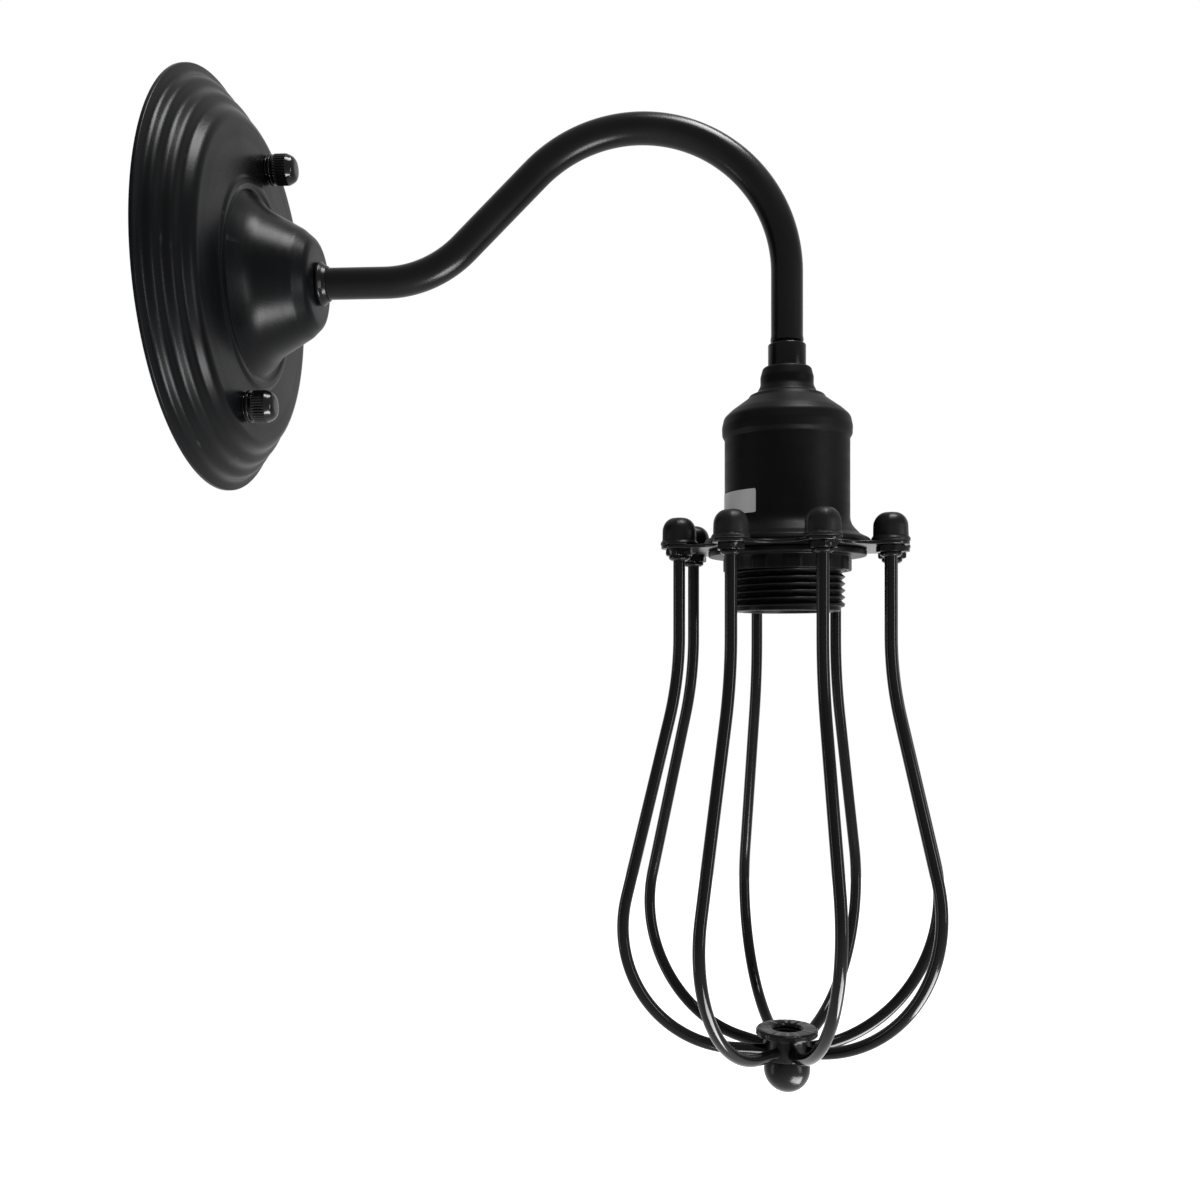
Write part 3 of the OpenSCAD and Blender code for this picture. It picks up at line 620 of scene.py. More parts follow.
# the studs pass through holes in the flat face
def drillCanopy(piece):
    for node in thumbNuts:
        hole = canopyShape["studHole"]
        outline = scaled([(0, 11), (hole, 11), (hole, 16), (0, 16)])
        cutter = addObject("cutter", lathe("cutter", outline, onStud(node), 32))
        cut = piece.modifiers.new("hole", "BOOLEAN")
        cut.operation = "DIFFERENCE"
        cut.solver = "EXACT"
        cut.object = cutter
        shown = piece.evaluated_get(bpy.context.evaluated_depsgraph_get())
        drilled = bpy.data.meshes.new_from_object(shown)
        piece.modifiers.clear()
        piece.data = drilled
        bpy.data.objects.remove(cutter)


drillCanopy(canopyShell)


# rolled bead where the arm meets the nose
def makeArmCollar():
    start = -high("arm_collar").y / mm
    outline = rounded(scaled([
        (5.1, start), (7.1, start, 0.3), (7.65, start + 1.2, 0.9), (6.5, start + 2.5, 0.8),
        (5.95, start + 3.6, 0.3), (5.46, start + 3.6), (5.46, start + 0.56), (5.1, start + 0.56),
    ]), 8)
    mesh = lathe("arm_bead", outline, wallPlace, 96)
    finishMesh("arm_bead", mesh, "root", "arm_collar", armBlack)


makeArmCollar()
print("canopy spun")


# arm: one bent tube with a threaded end in the canopy and one in the holder

armShape = {
    "run": 59.5, "riseRadius": 39, "rise": 45, "climb": 35.2, "archRadius": 50.3,
    "drop": 24.4, "radius": 5.4, "bore": 3.9, "thread": 5.0, "pitch": 1.0,
    "tailStart": 22, "tubeStart": 36.7,
    "lip": [(1.3, 0.22), (0.9, 0.2), (0.2, -0.45), (0, -0.7)],  # back from the end, past the radius
}


# the arm's middle line in (out, up), from the wall to the drop
def armRoute(first, last):
    v = armShape
    rise = math.radians(v["rise"])
    points = [Vector((first, 0)), Vector((v["run"], 0))]
    bend = (v["run"], v["riseRadius"])
    points += arc(bend, v["riseRadius"], -math.pi / 2, rise - math.pi / 2, 24)[1:]
    top = points[-1] + Vector((math.cos(rise), math.sin(rise))) * v["climb"]
    centre = top + Vector((math.sin(rise), -math.cos(rise))) * v["archRadius"]
    points += [top] + arc(centre, v["archRadius"], math.pi / 2 + rise, 0, 64)[1:]
    return points + [points[-1] + Vector((0, -last))]


def refine(points, longest):
    fine = [points[0]]
    for a, b in zip(points, points[1:]):
        count = max(1, math.ceil((b - a).length / longest))
        fine += [a + (b - a) * k / count for k in range(1, count + 1)]
    return fine


def threadedEnd(name, first, last, place):
    v = armShape
    thread, bore = v["thread"] * mm, v["bore"] * mm
    outline = [Vector((bore, first * mm)), Vector((thread - 0.6 * mm, first * mm))]
    outline += threadRun(thread, (first + 0.6) * mm, (last + 0.5) * mm, v["pitch"] * mm)
    outline.append(Vector((bore, (last + 0.5) * mm)))
    rule = threadRule(thread, (first + 0.8) * mm, last * mm, v["pitch"] * mm, 0.6 * mm)
    return lathe(name, outline, place, 96, [rule])


# two coaxial skins along the route, joined at their ends
def makeArm():
    v = armShape
    route = refine(armRoute(v["tubeStart"], v["drop"]), 3)
    path = [Vector((0, -p.x, p.y)) * mm for p in route]
    sides = 64
    across = Vector((1, 0, 0))
    ups = []
    for i in range(len(path)):
        along = (path[min(i + 1, len(path) - 1)] - path[max(i - 1, 0)]).normalized()
        ups.append(along.cross(across))
    verts = []

    def addRing(p, up, radius):
        for k in range(sides):
            turn = 2 * math.pi * k / sides
            verts.append(p + (across * math.cos(turn) + up * math.sin(turn)) * radius * mm)

    outward = (path[0] - path[1]).normalized()
    downward = (path[-1] - path[-2]).normalized()
    addRing(path[0], ups[0], v["radius"] - 0.25)
    addRing(path[0] - outward * 0.25 * mm, ups[0], v["radius"])
    for p, up in zip(path[1:-1], ups[1:-1]):
        addRing(p, up, v["radius"])
    for back, past in v["lip"]:
        addRing(path[-1] - downward * back * mm, ups[-1], v["radius"] + past)
    for p, up in zip(path[::-1], ups[::-1]):
        addRing(p, up, v["bore"])
    count = len(verts) // sides
    faces = []
    for i in range(count):
        j = (i + 1) % count
        for k in range(sides):
            n = (k + 1) % sides
            faces.append((i * sides + k, i * sides + n, j * sides + n, j * sides + k))
    tube = meshFrom("tube", verts, faces)
    wallEnd = threadedEnd("wallEnd", v["tailStart"], v["tubeStart"], wallPlace)
    lampEnd = threadedEnd("lampEnd", low("arm_tube").z / mm, path[-1].z / mm, holderPlace)
    mesh = joinMeshes("arm", [tube, wallEnd, lampEnd])
    finishMesh("arm", mesh, "root", "arm_tube", armBlack)


makeArm()
print("arm bent")


# holder: collar, spun cover and its blank label

holderShape = {"collarRadius": 6.4, "coverRadius": 21.1, "lipRadius": 28.2, "sheet": 0.8}


def makeCouplingCollar():
    bottom, top = low("coupling_collar").z, high("coupling_collar").z
    r = holderShape["collarRadius"] * mm
    bore = (armShape["thread"] + 0.05) * mm
    outline = rounded([
        (bore, bottom), (r, bottom, 0.25 * mm), (r, top, 0.45 * mm), (bore, top),
    ], 4)
    mesh = lathe("coupling_collar_turned", outline, holderPlace, 96)
    finishMesh("coupling_collar_turned", mesh, "root", "coupling_collar", armBlack)


def makeCover():
    r = holderShape["coverRadius"]
    lip = holderShape["lipRadius"]
    top = coverTop / mm
    bottom = coverLip / mm
    path = rounded(scaled([
        (armShape["thread"] + 0.1, top), (8.1, top, 1.3), (9, top - 3.4, 2.2),
        (8.95, top - 6.2, 3), (10.2, top - 8.7, 1.0), (12.6, top - 9.7, 0.7),
        (13.3, top - 10.8, 0.8), (18.6, top - 14.7, 2.2), (19.4, top - 15.4, 1.1),
        (21.3, top - 17.2, 3), (22.0, top - 20.4, 3.2), (21.9, top - 23.1, 1.5),
        (r, top - 24.6, 1.1), (r, bottom + 7.6, 6), (r + 3.5, bottom + 3.9, 3),
        (lip - 0.6, bottom + 2.4, 1.5), (lip, bottom + 1.1, 0.6), (lip + 0.1, bottom),
    ]), 8)
    mesh = lathe("cover_spun", sheetOutline(path, -holderShape["sheet"] * mm), holderPlace, 192)
    finishMesh("cover_spun", mesh, "root", "holder_cover", holderBlack, 40)


labelShape = {
    "height": 7.8, "aboveLip": 10, "first": 85, "last": 147,  # degrees round the cover
    "thick": 0.12, "corner": 0.6, "columns": 40, "rows": 6,
}


# a blank foil label with round corners, wrapped on the cover
def makeLabel():
    v = labelShape
    radius = (holderShape["coverRadius"] + 0.02) * mm
    width = math.radians(v["last"] - v["first"]) * radius
    corner = v["corner"] * mm
    columns, rows = v["columns"], v["rows"]
    bottom = coverLip + v["aboveLip"] * mm

    def inset(u):
        edge = min(u, width - u)
        if edge >= corner:
            return 0
        return corner - math.sqrt(max(0, corner * corner - (corner - edge) ** 2))

    verts, faces = [], []
    steps = [width * (0.5 - 0.5 * math.cos(math.pi * k / columns)) for k in range(columns + 1)]
    for depth in (0, 1):
        for u in steps:
            gap = inset(u)
            for j in range(rows + 1):
                h = gap + (v["height"] * mm - 2 * gap) * j / rows
                turn = math.radians(v["first"]) + u / radius
                rr = radius + depth * v["thick"] * mm
                x, y = rr * math.cos(turn), rr * math.sin(turn)
                verts.append(Vector((x, -reach + y, bottom + h)))
    size = rows + 1
    layer = (columns + 1) * size
    for i in range(columns):
        for j in range(rows):
            a = i * size + j
            quad = (a, a + 1, a + size + 1, a + size)
            faces.append(quad)
            faces.append(tuple(n + layer for n in quad[::-1]))
    rim = [i * size for i in range(columns + 1)]
    rim += [columns * size + j for j in range(1, size)]
    rim += [i * size + rows for i in range(columns - 1, -1, -1)]
    rim += [j for j in range(rows - 1, 0, -1)]
    for a, b in zip(rim, rim[1:] + rim[:1]):
        faces.append((a, b, b + layer, a + layer))
    mesh = meshFrom("label_blank", verts, faces)
    finishMesh("label_blank", mesh, "root", "rating_label", labelFoil)


makeCouplingCollar()
makeCover()
makeLabel()
print("holder spun")


# socket: sleeve with its outer thread, the lamp's screw shell and the shade ring

socketShape = {
    "crest": 19.5, "sleeveBore": 14.4, "pitch": 2.3, "threadDepth": 1.25,
    "skirt": 18.8, "seat": 16.7, "seatStep": 4.1,
    "shellBore": 13.3, "shellWall": 0.4, "lampPitch": 3.63, "lampDepth": 0.95,
    "shellStraight": 21.5, "shellNeck": 12.2, "shellMouth": 11,
}


def makeSleeve():
    v = socketShape
    bottom, top = low("socket_sleeve").z, high("socket_sleeve").z
    crest = v["crest"] * mm
    pitch = v["pitch"] * mm
    skirt, seat = v["skirt"] * mm, v["seat"] * mm
    outline = [Vector((v["sleeveBore"] * mm, bottom + 0.4 * mm)),
               Vector(((v["sleeveBore"] + 0.4) * mm, bottom)),
               Vector((crest - 1.9 * mm, bottom)), Vector((crest - 1.5 * mm, bottom + 0.3 * mm)),
               Vector((crest - 1.5 * mm, bottom + 1.3 * mm))]
    outline += threadRun(crest, bottom + 1.7 * mm, plateTop + 3.5 * mm, pitch, 14)
    outline += [Vector((crest - 0.2 * mm, plateTop + 4 * mm)), Vector((skirt, plateTop + 4.8 * mm)),
                Vector((skirt, top)), Vector((seat, top))]
    step = low("socket_base").z + v["seatStep"] * mm
    outline += [Vector((seat, step)), Vector((v["sleeveBore"] * mm, step))]
    rule = threadRule(crest, bottom + 1.4 * mm, plateTop + 3.6 * mm, pitch,
                      v["threadDepth"] * mm, 0.5 * pitch, 0.35)
    mesh = lathe("socket_sleeve_moulded", outline, holderPlace, 180, [rule])
    finishMesh("socket_sleeve_moulded", mesh, "root", "socket_sleeve",
               socketBlack, 50)


# a drawn brass cup whose wall carries the lamp's round thread on both faces
def makeScrewShell():
    v = socketShape
    bottom, top = low("screw_shell").z, high("screw_shell").z
    bore, wall = v["shellBore"] * mm, v["shellWall"] * mm
    pitch = v["lampPitch"] * mm
    step = bottom + v["shellStraight"] * mm
    inner = threadRun(bore, bottom + 0.4 * mm, step, pitch, 16)
    narrow = v["shellNeck"] * mm
    neck = rounded([
        (bore, step), (narrow, step, 0.4 * mm), (narrow, top, 0.5 * mm),
        (v["shellMouth"] * mm, top),
    ], 4)
    path = [Vector((bore + 0.15 * mm, bottom))] + inner + neck[1:]
    outline = sheetOutline(path, wall)
    fullTurn = 2 * math.pi

    def rule(r, h, turn):
        if r < bore - 0.05 * mm or h > step:
            return r
        dip = 0.5 - 0.5 * math.cos(fullTurn * (h / pitch - turn / fullTurn))
        return r - v["lampDepth"] * mm * dip * fade(h, bottom, step, 1.6 * mm)

    mesh = lathe("screw_shell_drawn", outline, holderPlace, 120, [rule])
    finishMesh("screw_shell_drawn", mesh, "root", "screw_shell", brass, 50)


ringShape = {
    "flangeRadius": 26.6, "flange": 2.1, "collarRadius": 21.3, "lugs": 12, "lugHeight": 0.3,
}


def makeShadeRing():
    v = ringShape
    bottom, top = low("shade_ring").z, high("shade_ring").z
    bore = (socketShape["crest"] + 0.33) * mm
    pitch = socketShape["pitch"] * mm
    collar = v["collarRadius"] * mm
    flange = v["flangeRadius"] * mm
    under = top - v["flange"] * mm
    wall = [(collar, bottom, 0.3 * mm), (collar, bottom + 1.2 * mm), (collar, bottom + 2.4 * mm),
            (collar, bottom + 3.6 * mm), (collar, under, 0.4 * mm)]
    outline = rounded([(bore + 0.3 * mm, bottom)] + wall + [
        (flange, under, 0.5 * mm), (flange, top, 0.5 * mm), (bore + 0.3 * mm, top)], 4)
    outline += threadRun(bore, top - 0.3 * mm, bottom + 0.3 * mm, pitch, 10)

    def lugRule(r, h, turn):
        if abs(r - collar) > 0.35 * mm or h > under - 0.6 * mm:
            return r
        wave = math.cos(v["lugs"] * turn)
        return r + v["lugHeight"] * mm * max(0, min(1, 0.5 + wave * 3.5)) - 0.05 * mm

    mesh = lathe("shade_ring_moulded", outline, holderPlace, 288,
                 [lugRule, threadRule(bore, bottom, top, pitch, -0.25 * mm, pitch, 0.5)])
    finishMesh("shade_ring_moulded", mesh, "shade_ring", "shade_ring",
               socketBlack, 45)


makeSleeve()
makeScrewShell()
makeShadeRing()
print("socket threaded")


# cage plate: a scalloped sheet with soft edges, a bore and eight wire holes

cageShape = {
    "circle": 37.4, "lobe": 6.0, "valley": 31.5, "bore": 20.3, "wire": 2.0, "soft": 0.3,
    "straight": 29.5, "shoulder": 118, "lean": 13.8, "belly": 46, "tailSlope": 6,
    "endRadius": 6, "endBelowHub": 7.3, "handBend": [2, -3, -4, -4, 4.5, 4.5, 4.5, 4],
}


# where wire i passes through the plate, facing outward
def lobePlace(i, height):
    place = Matrix.Translation((0, -reach, height)) @ Matrix.Rotation(wireAngle(i), 4, "Z")
    return place @ Matrix.Translation((cageShape["circle"] * mm, 0, 0))


def scallopOutline(grow):
    v = cageShape
    half = math.pi / wireCount
    inner = v["valley"]
    lobeAt = v["circle"]
    hollowAt = (lobeAt ** 2 - (inner - v["lobe"]) ** 2) / (
        2 * (lobeAt * math.cos(half) - (inner - v["lobe"])))
    hollow = hollowAt - inner - grow
    lobe = v["lobe"] + grow
    points = []
    for i in range(wireCount):
        middleTurn = i * 2 * half
        toHollow = Vector((hollowAt * math.cos(half) - lobeAt, hollowAt * math.sin(half)))
        spread = math.atan2(toHollow.y, toHollow.x)
        back = spread + math.pi - half
        hollowArc = arc((hollowAt, 0), hollow, back, 2 * math.pi - back, 12)
        turn = Matrix.Rotation(middleTurn, 2)
        points += [turn @ p for p in arc((lobeAt, 0), lobe, -spread, spread, 18)]
        turn = Matrix.Rotation(middleTurn + half, 2)
        points += [turn @ p for p in hollowArc[1:-1]]
    return points


def addLoop(curve, points):
    spline = curve.splines.new("POLY")
    spline.points.add(len(points) - 1)
    for target, p in zip(spline.points, points):
        target.co = (p.x * mm, p.y * mm, 0, 1)
    spline.use_cyclic_u = True


def makePlate():
    v = cageShape
    soft = v["soft"]
    curve = bpy.data.curves.new("plateCurve", "CURVE")
    curve.dimensions = "2D"
    curve.fill_mode = "BOTH"
    turn = Matrix.Rotation(cageTurn + math.pi / wireCount, 2)
    addLoop(curve, [turn @ p for p in scallopOutline(-soft)])
    addLoop(curve, arc((0, 0), v["bore"] + soft, 0, 2 * math.pi, 96)[:-1])
    for i in range(wireCount):
        centre = Vector((math.cos(wireAngle(i)), math.sin(wireAngle(i)))) * v["circle"]
        addLoop(curve, arc(centre, v["wire"] + 0.1 + soft, 0, 2 * math.pi, 24)[:-1])
    curve.extrude = (plateTop - plateLow) / 2 - soft * mm
    curve.bevel_depth = soft * mm
    curve.bevel_resolution = 3
    holder = addObject("plateCurve", curve)
    shown = holder.evaluated_get(bpy.context.evaluated_depsgraph_get())
    mesh = bpy.data.meshes.new_from_object(shown)
    bpy.data.objects.remove(holder)
    mesh.transform(Matrix.Translation((0, -reach, (plateTop + plateLow) / 2)))
    mesh.name = "cage_plate_cut"
    shape = bmesh.new()
    shape.from_mesh(mesh)
    bmesh.ops.remove_doubles(shape, verts=shape.verts, dist=1e-6)
    bmesh.ops.recalc_face_normals(shape, faces=shape.faces)
    shape.to_mesh(mesh)
    shape.free()
    finishMesh("cage_plate_cut", mesh, "cage", "cage_plate", plateBlack, 40)


makePlate()


# cage wires: straight, a slow shoulder, a lean, the belly and the tail into the hub

# the lean is as long as brings every hand-bent belly's tail to the hub at one depth
def wireProfile(i):
    v = cageShape
    lean, slope = math.radians(v["lean"]), math.radians(v["tailSlope"])
    belly = v["belly"] + v["handBend"][i]
    top = high("cage_wire_1").z / mm
    bend = (plateTop + plateLow) / 2 / mm - v["straight"]
    endHeight = high("cage_hub").z / mm - v["endBelowHub"]
    shoulder = Vector((v["circle"] + v["shoulder"], bend))
    points = [Vector((v["circle"], top))]
    points += arc(shoulder, v["shoulder"], math.pi, math.pi + lean, 10)
    here = points[-1]
    fall = here.y - endHeight - belly * (math.sin(lean) + math.cos(slope))
    inward = here.x + belly * (math.sin(slope) - math.cos(lean)) - v["endRadius"]
    steep = math.tan(slope)
    length = (fall - steep * inward) / (math.cos(lean) + math.sin(lean) * steep)
    start = here + Vector((math.sin(lean), -math.cos(lean))) * length
    centre = start - Vector((math.cos(lean), math.sin(lean))) * belly
    points += arc(centre, belly, lean, slope - math.pi / 2, 40)
    points.append(Vector((v["endRadius"], endHeight)))
    return refine(points, 3)


def makeWires():
    for i in range(wireCount):
        place = holderPlace @ Matrix.Rotation(wireAngle(i), 4, "Z")
        path = [place @ Vector((p.x * mm, 0, p.y * mm)) for p in wireProfile(i)]
        name = f"wire_{i + 1}_enamelled"
        mesh = sweep(name, path, cageShape["wire"] * mm, 24)
        finishMesh(name, mesh, "cage", f"cage_wire_{i + 1}", wireBlack, 40)


makeWires()
print("cage wires bent")


# cap nuts: soft hexagons under a round dome, on a thin skirt, thick with paint

gap = 0.02 * mm  # between pieces that would otherwise share a face
capShape = {"across": 10.6, "softness": 0.75, "skirt": 6.2, "skirtHeight": 0.9, "dome": 4.6}


def capMesh(i):
    v = capShape
    corner = v["across"] / 2 / math.cos(math.pi / 6) * mm
    height = high("cage_cap_nuts").z - plateTop
    foot = v["skirtHeight"] * mm
    outer = rounded([
        (0, 0), (v["skirt"] * mm, 0, 0.25 * mm), (v["skirt"] * mm, foot, 0.35 * mm),
        (corner, foot + 0.8 * mm, 0.5 * mm), (corner * 0.97, height, v["dome"] * mm), (0, height),
    ], 8)
    hexagon = hexRule(v["across"] * mm, v["softness"], 0, height)
    dice = random.Random(40 + i)

    def body(r, h, turn):
        keep = min(1.0, max(0.0, (h - foot) / (0.6 * mm)))
        return r * (1 + (hexagon(corner, h, turn) / corner - 1) * keep)

    place = lobePlace(i, plateTop + gap) @ Matrix.Rotation(dice.uniform(0, 1), 4, "Z")
    return lathe("cap", outer, place, 72, [body], False)


def makeCaps():
    mesh = joinMeshes("cap_nuts_painted", [capMesh(i) for i in range(wireCount)])
    roughen(mesh, 420, 0.06 * mm)
    finishMesh("cap_nuts_painted", mesh, "cage", "cage_cap_nuts", capBlack, 60)


makeCaps()


# lock nuts: a hexagon and a smaller washer under it, both drowned in paint
lockShape = {"across": 8.3, "height": 2.3, "ring": 3.5, "total": 3.8, "pitch": 0.7}


def lockMesh(i):
    v = lockShape
    place = lobePlace(i, plateLow - gap) @ Matrix.Rotation(0.35 * i, 4, "Z")
    place = place @ Matrix.Rotation(math.pi, 4, "X")
    bore = (cageShape["wire"] + 0.05) * mm
    first, last, ring = v["height"] * mm, v["total"] * mm, v["ring"] * mm
    nut = hexNut("nut", v["across"] * mm, bore, first, place, v["pitch"] * mm)
    outline = rounded([
        (bore, first + gap), (ring, first + gap, 0.3 * mm),
        (ring, last - 0.6 * mm, 0.4 * mm), (2.7 * mm, last, 0.3 * mm), (bore, last),
    ], 5)
    return joinMeshes("lock", [nut, lathe("collar", outline, place, 48)])


def makeLockNuts():
    mesh = joinMeshes("lock_nuts_painted", [lockMesh(i) for i in range(wireCount)])
    roughen(mesh, 600, 0.12 * mm)
    finishMesh("lock_nuts_painted", mesh, "cage", "cage_lock_nuts", wireBlack, 30)


makeLockNuts()
print("cage nuts on")


# hub: a rough casting with a flat flange, a tapped hole and a stout neck that takes the wires

hubShape = {
    "radius": 10.5, "flange": 2.2, "neck": 8.2, "bore": 4.8, "mouth": 5.5, "pitch": 1.25,
    "rough": 0.10,
}


def makeHub():
    v = hubShape
    top = high("cage_hub").z
    foot = low("cage_hub").z
    r, neck, bore = v["radius"] * mm, v["neck"] * mm, v["bore"] * mm
    under = top - v["flange"] * mm
    outline = rounded([
        (v["mouth"] * mm, top), (r - 0.7 * mm, top, 0.25 * mm), (r, top - 0.5 * mm, 0.5 * mm),
        (r, under, 0.6 * mm), (neck, under - 0.6 * mm, 0.6 * mm), (neck, under - 2.6 * mm),
        (neck, under - 4.6 * mm), (neck, foot, 0.5 * mm), (bore, foot),
    ], 5)
    outline += threadRun(bore, foot + 0.3 * mm, top - 0.8 * mm, v["pitch"] * mm, 10)
    rule = threadRule(bore, foot, top - 0.7 * mm, v["pitch"] * mm, -0.45 * mm, 0.6 * mm, 0.3)
    mesh = lathe("hub_cast", outline, holderPlace, 192, [rule])
    roughen(mesh, 900, v["rough"] * mm, bore + 0.6 * mm)
    finishMesh("hub_cast", mesh, "cage", "cage_hub", hubBlack, 50)


makeHub()


# ball: turned, with a flat seat under the hub and a stud up into it
ballShape = {"radius": 7.85, "stud": 4.5, "studHeight": 3.9, "steps": 40}


def makeBall():
    v = ballShape
    lowest, seat = low("finial_ball").z, low("cage_hub").z
    r, stud = v["radius"] * mm, v["stud"] * mm
    z = lowest + r
    top = math.acos((seat - z) / r)
    turns = [math.pi - (math.pi - top) * k / v["steps"] for k in range(1, v["steps"] + 1)]
    outline = [Vector((0, lowest))]
    outline += [Vector((r * math.sin(t), z + r * math.cos(t))) for t in turns]
    end = seat + v["studHeight"] * mm
    outline += [Vector((stud, seat)), Vector((stud, end)), Vector((0, end))]
    mesh = lathe("ball_turned", outline, holderPlace, 96, (), False)
    finishMesh("ball_turned", mesh, "cage", "finial_ball", hubBlack, 50)


makeBall()
print("hub cast")


# thumb nuts: a ring, a groove, a fluted barrel and a dome
thumbShape = {
    "radius": 5.45, "height": 9.4, "flutes": 34, "fluteDepth": 0.32, "bore": 2.05, "boreDepth": 7.4,
}


def makeThumbNuts():
    v = thumbShape
    r, height = v["radius"], v["height"]
    profile = rounded(scaled([
        (v["bore"], 0), (r, 0, 0.2), (r, 0.9, 0.25), (r - 0.75, 1.2), (r - 0.75, 1.7),
        (r, 2.0, 0.25), (r, 2.6), (r, 3.4), (r, 4.2), (r, 5.0), (r, 5.8), (r - 0.05, 6.5, 0.8),
        (r - 1.5, height, 2.7), (0, height),
    ]), 6)
    profile += [Vector(p) for p in scaled([(0, v["boreDepth"]), (v["bore"], v["boreDepth"])])]

    def flutes(radius, h, turn):
        if radius < (r - 0.3) * mm or not 2.1 * mm < h < 6.6 * mm:
            return radius
        depth = fade(h, 2.1 * mm, 6.6 * mm, 0.5 * mm)
        wave = 0.5 + 0.5 * math.cos(v["flutes"] * turn)
        return radius - v["fluteDepth"] * mm * depth * wave ** 1.6

    for node in thumbNuts:
        base = -high(node).y
        outline = [Vector((p.x, p.y + base)) for p in profile]
        shifted = lambda radius, h, turn, base=base: flutes(radius, h - base, turn)
        mesh = lathe(node + "_fluted", outline, onStud(node), 272, [shifted])
        finishMesh(node + "_fluted", mesh, node, node, knobBlack, 35)


makeThumbNuts()


# studs with their thread, their nuts and the washers under the thumb nuts
studShape = {
    "radius": 2.0, "head": 3.4, "headFoot": 1.7, "headTop": 4.0, "pitch": 0.7, "threadDepth": 0.38,
    "nutAcross": 7, "nutBore": 2.05, "nutHeight": 3.2, "washer": 4.9, "washerBore": 2.3,
    "washerHeight": 0.8,
}


def makeStuds():
    v = studShape
    r, pitch, foot, headTop = v["radius"] * mm, v["pitch"] * mm, v["headFoot"], v["headTop"]
    last = -low("fixing_studs").y
    studs, nuts, washers = [], [], []
    for node in thumbNuts:
        place = onStud(node)
        outline = rounded(scaled([
            (0, foot), (v["head"], foot, 0.5), (v["head"], headTop), (v["radius"], headTop)]), 4)
        outline += threadRun(r, 4.3 * mm, last - 0.5 * mm, pitch, 9)
        outline += [Vector((r - 0.5 * mm, last)), Vector((0, last))]
        rule = threadRule(r, 4.2 * mm, last, pitch, v["threadDepth"] * mm)
        studs.append(lathe("stud", outline, place, 48, [rule], False))
        nutPlace = place @ Matrix.Translation((0, 0, -high("stud_nuts").y))
        nuts.append(hexNut("nut", v["nutAcross"] * mm, v["nutBore"] * mm, v["nutHeight"] * mm,
                           nutPlace, pitch))
        base = -high("thumb_washers").y / mm
        top = base + v["washerHeight"]
        ring = rounded(scaled([
            (v["washerBore"], base), (v["washer"], base, 0.25), (v["washer"], top, 0.3),
            (v["washerBore"], top)]), 4)
        washers.append(lathe("washer", ring, place, 64))
    for name, meshes, node, slot, finish, sharp in (
        ("studs_threaded", studs, "fixing_studs", "brass", brass, 30),
        ("stud_nuts_hex", nuts, "stud_nuts", "zinc_steel", zincSteel, 30),
        ("washers_black", washers, "thumb_washers", "knob_black", knobBlack, 40),
    ):
        finishMesh(name, joinMeshes(name, meshes), "root", node, finish, sharp)


makeStuds()


# the nuts on the arm's two threaded ends: across the flats, height, and the chamfer of both
armNuts = {"arm_nut": (14, 3.2), "cover_nut": (12.4, 4)}
armNutChamfer = 0.5


def makeArmNuts():
    bore = armShape["thread"] * mm + 0.05 * mm
    places = {
        "arm_nut": wallPlace @ Matrix.Translation((0, 0, -high("arm_nut").y)),
        "cover_nut": Matrix.Translation((0, -reach, low("cover_nut").z)),
    }
    for node, (across, height) in armNuts.items():
        mesh = hexNut(node + "_hex", across * mm, bore, height * mm, places[node],
                      armShape["pitch"] * mm, armNutChamfer * mm)
        finishMesh(node + "_hex", mesh, "root", node, zincSteel, 30)


makeArmNuts()
print("fasteners made")


# CAD nodes that keep their shape take a finish, and a small soft edge where it shows

keptFinish = {
    "wall_bracket": zincSteel, "earth_screw": brass, "terminal_block": ivoryPlastic,
    "terminal_screws": brass, "lock_washer": zincSteel, "socket_cap": socketBlack,
    "socket_base": ceramic, "socket_terminals": brass, "socket_screws": zincSteel,
    "contact_foot": brass, "centre_contact": brass,
}
softEdges = {
    "wall_bracket": 0.25, "terminal_block": 0.5, "socket_terminals": 0.2, "centre_contact": 0.06,
}


def leadMaterial(node):
    dark, light = leadFinish[node]
    return plainMaterial(node + "_skin", {
        "dark": dark, "light": light, "scale": 500.0, "roughLow": 0.3, "roughHigh": 0.4,
        "height": 0.00001})


def finishKeptNodes():
    for node in leadFinish:
        keptFinish[node] = leadMaterial(node)
    for node, material in keptFinish.items():
        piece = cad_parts[node]
        piece.data.materials.clear()
        piece.data.materials.append(material)
        if node in softEdges:
            bevel = piece.modifiers.new("softEdge", "BEVEL")
            bevel.width = softEdges[node] * mm
            bevel.segments = 2
            bevel.limit_method = "ANGLE"
            bevel.angle_limit = math.radians(40)


finishKeptNodes()
print("kept nodes finished")


# floor, background and lamps

floorShape = {"size": 6, "drop": 0.45}  # metres, the drop under the ball


# 1 for the rays that only see the backdrop, 0 for those that carry light to the object
def seenRays(tree):
    path = tree.nodes.new("ShaderNodeLightPath")
    seen = mathNode(tree, "MAXIMUM", path.outputs["Is Camera Ray"], path.outputs["Is Glossy Ray"])
    return mathNode(tree, "MAXIMUM", seen, path.outputs["Is Transmission Ray"])


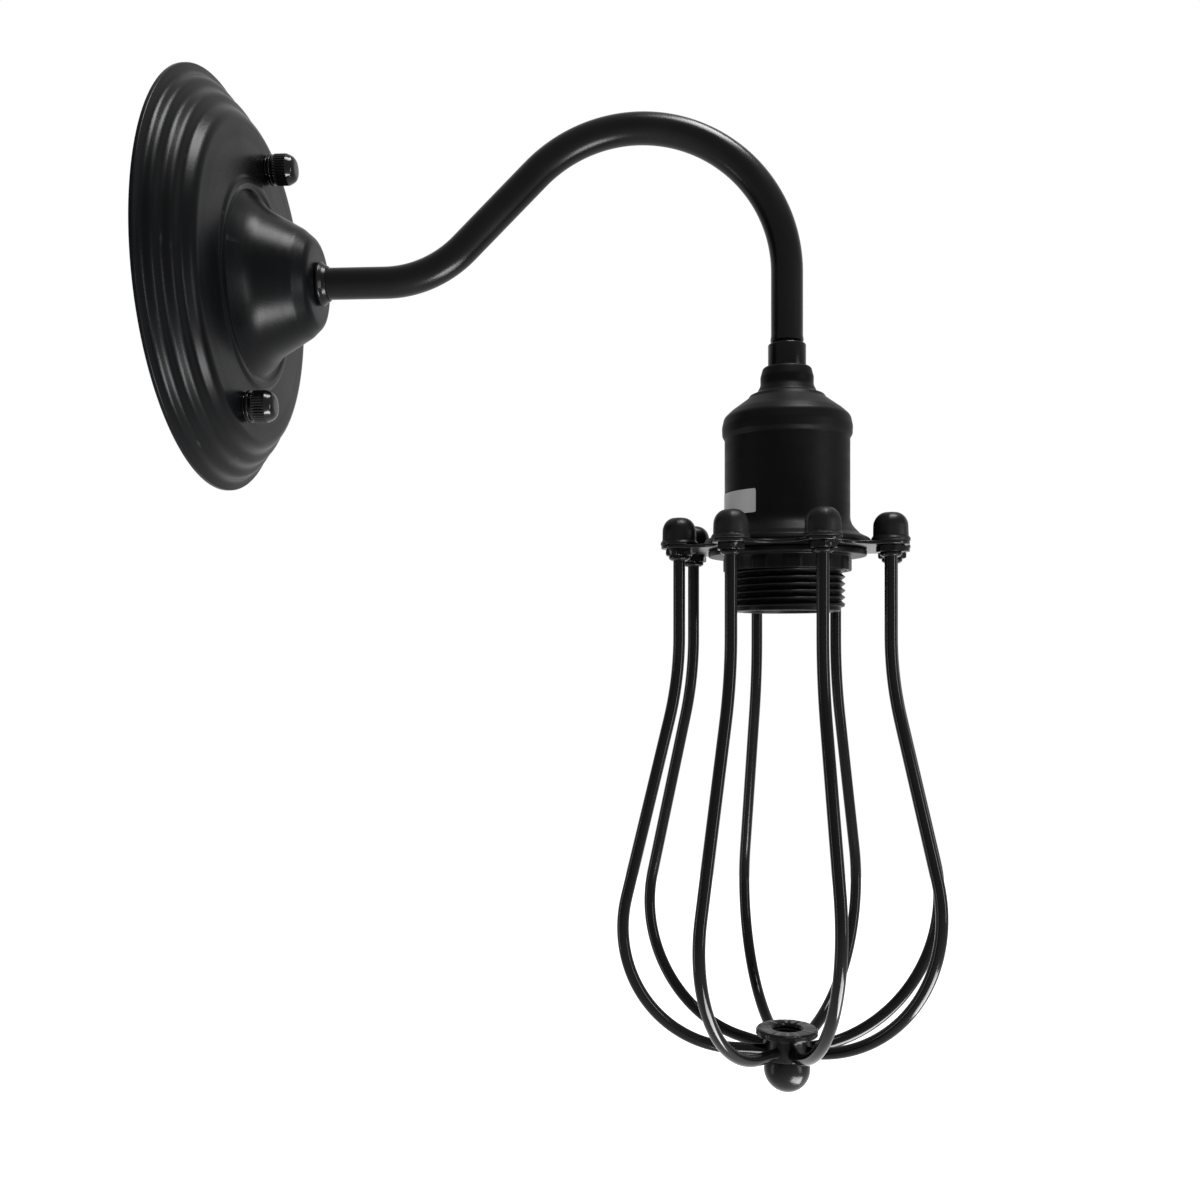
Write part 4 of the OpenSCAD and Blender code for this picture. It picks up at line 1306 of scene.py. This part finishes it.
def makeFloor():
    mesh = bpy.data.meshes.new("floor")
    half = floorShape["size"] / 2
    z = cadBox[0][2] - floorShape["drop"]
    mesh.from_pydata([(-half, -half, z), (half, -half, z), (half, half, z), (-half, half, z)],
                     [], [(0, 1, 2, 3)])
    addObject("floor", mesh)
    material, tree, shader = newMaterial("paleFloor")
    shader.inputs["Base Color"].default_value = grey(0.9)
    shader.inputs["Roughness"].default_value = 0.7
    shader.inputs["Specular IOR Level"].default_value = 0
    shader.inputs["Emission Color"].default_value = grey(1.0)
    tree.links.new(seenRays(tree), shader.inputs["Emission Strength"])
    mesh.materials.append(material)


def makeWorld():
    world = bpy.data.worlds.new("studio")
    bpy.context.scene.world = world
    world.use_nodes = True
    tree = world.node_tree
    tree.nodes.clear()
    white = addNode(tree, "ShaderNodeBackground", Color=grey(1.0), Strength=1.0)
    fill = addNode(tree, "ShaderNodeBackground", Color=grey(1.0), Strength=0.35)
    mix = tree.nodes.new("ShaderNodeMixShader")
    tree.links.new(seenRays(tree), mix.inputs[0])
    tree.links.new(fill.outputs[0], mix.inputs[1])
    tree.links.new(white.outputs[0], mix.inputs[2])
    output = tree.nodes.new("ShaderNodeOutputWorld")
    tree.links.new(mix.outputs[0], output.inputs["Surface"])


lamps = {
    "top": {
        "aim": (0, -0.12, -0.05), "toward": (-0.1, -0.3, 0.95), "away": 0.9,
        "size": (0.45, 0.28), "watts": 19},
    "under": {
        "aim": (0, -0.12, -0.1), "toward": (-0.3, -0.5, -0.7), "away": 0.55,
        "size": (0.34, 0.18), "watts": 14},
    "right": {
        "aim": (0, -0.19, -0.15), "toward": (-0.45, -0.89, -0.02), "away": 0.8,
        "size": (0.12, 0.4), "watts": 4.5},
    "left": {
        "aim": (0, -0.19, -0.22), "toward": (-0.15, 0.98, -0.1), "away": 0.8,
        "size": (0.08, 0.5), "watts": 2.2},
}


def makeLamps():
    for name, v in lamps.items():
        data = bpy.data.lights.new(name, "AREA")
        data.shape = "RECTANGLE"
        data.size, data.size_y = v["size"]
        data.energy = v["watts"]
        lamp = addObject(name, data)
        toward = Vector(v["toward"]).normalized()
        lamp.location = Vector(v["aim"]) + toward * v["away"]
        lamp.rotation_euler = toward.to_track_quat("Z", "Y").to_euler()


makeFloor()
makeWorld()
makeLamps()
bpy.context.scene.view_settings.view_transform = "Standard"
print("studio lit")
